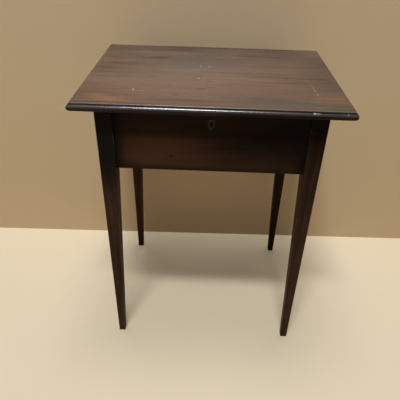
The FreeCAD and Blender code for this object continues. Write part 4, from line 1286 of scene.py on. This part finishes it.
# Screw groups: material slot, and the way their heads face
SCREWS = {
    "batten_screws": ("iron", DOWN),
    "hinge_frame_screws": ("brass", UP),
    "hinge_lid_screws": ("brass", DOWN),
    "link_plate_screws": ("brass", DOWN),
    "lock_screws": ("brass", INTO_WELL),
}


class TAVERN_OT_screws(bpy.types.Operator):
    """Slotted countersunk screws, turned home at odd angles"""
    bl_idname = "tavern.screws"
    bl_label = "Screws"

    def execute(self, context):
        chance = random.Random(SCREW_SEED)
        for name, (slot, way) in SCREWS.items():
            boxes = solids_of(name)
            moves = []
            for box in boxes:
                outward = UP if in_upper_plate(name, box) else way
                top = centre(box) + outward * max(box[1] - box[0]) / 2
                moves.append(facing(top, outward) @ Matrix.Rotation(chance.uniform(0, math.pi), 4, "Z"))
            piece = repeated(f"{name}_set", slotted_screw(boxes[0]), moves)
            dress(piece, iron() if slot == "iron" else brass())
            hand_over(piece, name)
        return {"FINISHED"}


def in_upper_plate(name, box):
    """True for the lock's screws that go down through its upper plate."""
    reach = 8 * MM
    return name == "lock_screws" and centre(box).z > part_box("lock_backplate")[1].z - reach


def slotted_screw(box, sides=28, shank=0.5):
    """A screw with its head's top at the origin, pointing down, and its shank a share of its head."""
    size = sizes()
    span = box[1] - box[0]
    head, rim = min(span) / 2, size.head_rim
    cone = head - head * shank
    screw = bar("screw_master", sides, head, (0, 0, -rim / 2), rim)
    with editing(screw):
        pick(screw, "FACE", lambda face: face.normal.z < -SQUARE)
        bpy.ops.mesh.extrude_region_move(TRANSFORM_OT_translate={"value": (0, 0, -cone)})
        bpy.ops.transform.resize(value=(shank, shank, 1), center_override=(0, 0, 0))
        bpy.ops.mesh.extrude_region_move(TRANSFORM_OT_translate={"value": (0, 0, cone + rim - max(span))})
    carve(screw, block("slot_tool", (-2 * head, -size.slot_wide / 2, -size.slot_deep),
                       (2 * head, size.slot_wide / 2, MM)))
    smooth(screw, degrees=30)
    return screw


WARM = (1.0, 0.98, 0.95)
COOL = (0.94, 0.98, 1.0)
# Tint of the light from all round
AROUND = (1.0, 0.95, 0.86)
# Share of the backdrop's colour past its edges, where no lamp lights it
PAST_WALL = 0.72
# Lamps: place, aim, width and depth in metres, power in watts, and tint
LAMPS = {
    "upper_lamp": ((-0.10, 0.15, 4.5), (0, 0, 0.6), 1.8, 1.2, 66, WARM),
    "front_lamp": ((-0.27, -1.75, 4.5), (0, -0.1, 0.7), 1.05, 0.34, 125, COOL),
    "rear_fill": ((0.3, 2.5, 0.45), (0, 0, 0.45), 0.8, 0.4, 10, WARM),
    "left_fill": ((-1.9, 1.7, 0.45), (0, 0, 0.45), 0.8, 0.4, 8, WARM),
    "right_fill": ((1.9, 1.7, 0.45), (0, 0, 0.45), 0.8, 0.4, 8, WARM),
}


class TAVERN_OT_stage(bpy.types.Operator):
    """Pale floor, backdrop, soft lamps and the camera"""
    bl_idname = "tavern.stage"
    bl_label = "Stage"

    def execute(self, context):
        stage = context.scene.tavern_stage
        fresh()
        bpy.ops.mesh.primitive_plane_add(size=stage.floor_size, location=(0, 0, 0))
        floor = settle("floor")
        dress(floor, plain_paper("floor_paper", stage.floor, stage.floor_lift))
        fresh()
        bpy.ops.mesh.primitive_plane_add(size=1, location=(0, stage.wall_y, stage.wall_tall / 2),
                                         rotation=(QUARTER, 0, stage.wall_turn))
        bpy.context.object.scale = (stage.wall_wide, stage.wall_tall, 1)
        wall = settle("wall")
        dress(wall, plain_paper("wall_paper", stage.wall, stage.wall_lift))
        wall.visible_shadow = False
        for name, settings in LAMPS.items():
            hang_lamp(name, *settings)
        set_world(stage)
        set_camera(stage)
        context.scene.view_settings.view_transform = "Standard"
        return {"FINISHED"}


def hang_lamp(name, place, aim, wide, deep, power, tint):
    fresh()
    bpy.ops.object.light_add(type="AREA", location=place)
    lamp = bpy.context.object
    lamp.name = name
    lamp.rotation_euler = (Vector(aim) - Vector(place)).to_track_quat("-Z", "Y").to_euler()
    lamp.data.shape = "RECTANGLE"
    lamp.data.size = wide
    lamp.data.size_y = deep
    lamp.data.energy = power
    lamp.data.color = tint


def seen(tree):
    """One for what the camera sees, straight or by way of gloss or glass, and nought for other light."""
    path = node(tree, "LightPath").outputs
    through = math_node(tree, "MAXIMUM", path["Is Glossy Ray"], path["Is Transmission Ray"])
    return math_node(tree, "MAXIMUM", path["Is Camera Ray"], through)


@finish
def plain_paper(tree, tint, lift):
    """Matt paper that a camera behind or below it looks through."""
    front = tree.nodes["Principled BSDF"].outputs[0]
    clear = node(tree, "BsdfTransparent").outputs[0]
    behind = node(tree, "NewGeometry").outputs["Backfacing"]
    both = node(tree, "MixShader", {0: behind, 1: front, 2: clear}).outputs[0]
    feed(tree, tree.nodes["Material Output"], {"Surface": both})
    cloud = noise(tree, object_place(tree), scale=2.4, detail=3.0)
    duller = scaled(tint, 0.94)
    return {"Base Color": mix(tree, cloud, rgba(duller), rgba(tint)), "Roughness": 0.9,
            "Specular IOR Level": 0.1, "Emission Color": rgba(tint),
            "Emission Strength": times(tree, seen(tree), lift)}


def set_world(stage):
    """Dim even light, and the backdrop's colour where the camera or a gloss sees past it."""
    world = bpy.data.worlds.new("room")
    world.use_nodes = True
    bpy.context.scene.world = world
    tree = world.node_tree
    around = scaled(AROUND, stage.ambient)
    paint = mix(tree, seen(tree), rgba(around), rgba(scaled(stage.wall, PAST_WALL)))
    feed(tree, tree.nodes["Background"], {"Color": paint})


def set_camera(stage):
    pitch, roll, yaw = stage.camera_aim
    forward = Vector((math.sin(yaw) * math.cos(pitch), math.cos(yaw) * math.cos(pitch), math.sin(pitch)))
    level = Vector((math.cos(yaw), -math.sin(yaw), 0))
    upward = level.cross(forward)
    right = level * math.cos(roll) + upward * math.sin(roll)
    up = upward * math.cos(roll) - level * math.sin(roll)
    fresh()
    bpy.ops.object.camera_add(location=stage.camera_place)
    camera = bpy.context.object
    axes = Matrix((right, up, -forward)).transposed()
    camera.rotation_euler = axes.to_euler()
    camera.data.sensor_width = stage.camera_sensor
    camera.data.lens = stage.camera_lens
    bpy.context.scene.camera = camera


OPERATORS = (TAVERN_OT_legs, TAVERN_OT_aprons, TAVERN_OT_pegs, TAVERN_OT_well, TAVERN_OT_lid,
             TAVERN_OT_battens, TAVERN_OT_hinges, TAVERN_OT_lock, TAVERN_OT_escutcheon, TAVERN_OT_screws,
             TAVERN_OT_stage)


class TAVERN_PT_panel(bpy.types.Panel):
    """Steps and settings of the tavern table"""
    bl_idname = "TAVERN_PT_panel"
    bl_label = "Tavern Table"
    bl_space_type = "VIEW_3D"
    bl_region_type = "UI"
    bl_category = "Tavern Table"

    def draw(self, context):
        for operator in OPERATORS:
            self.layout.operator(operator.bl_idname)
        for name, group in GROUPS.items():
            box = self.layout.box()
            for prop in group.__annotations__:
                box.prop(getattr(context.scene, name), prop)


CLASSES = (*GROUPS.values(), *OPERATORS, TAVERN_PT_panel)


def register():
    for item in CLASSES:
        bpy.utils.register_class(item)
    for name, group in GROUPS.items():
        setattr(bpy.types.Scene, name, PointerProperty(type=group))


def unregister():
    for name in GROUPS:
        delattr(bpy.types.Scene, name)
    for item in reversed(CLASSES):
        bpy.utils.unregister_class(item)


def main():
    register()
    for operator in OPERATORS:
        family, step = operator.bl_idname.split(".")
        getattr(getattr(bpy.ops, family), step)()


if __name__ == "__main__":
    main()
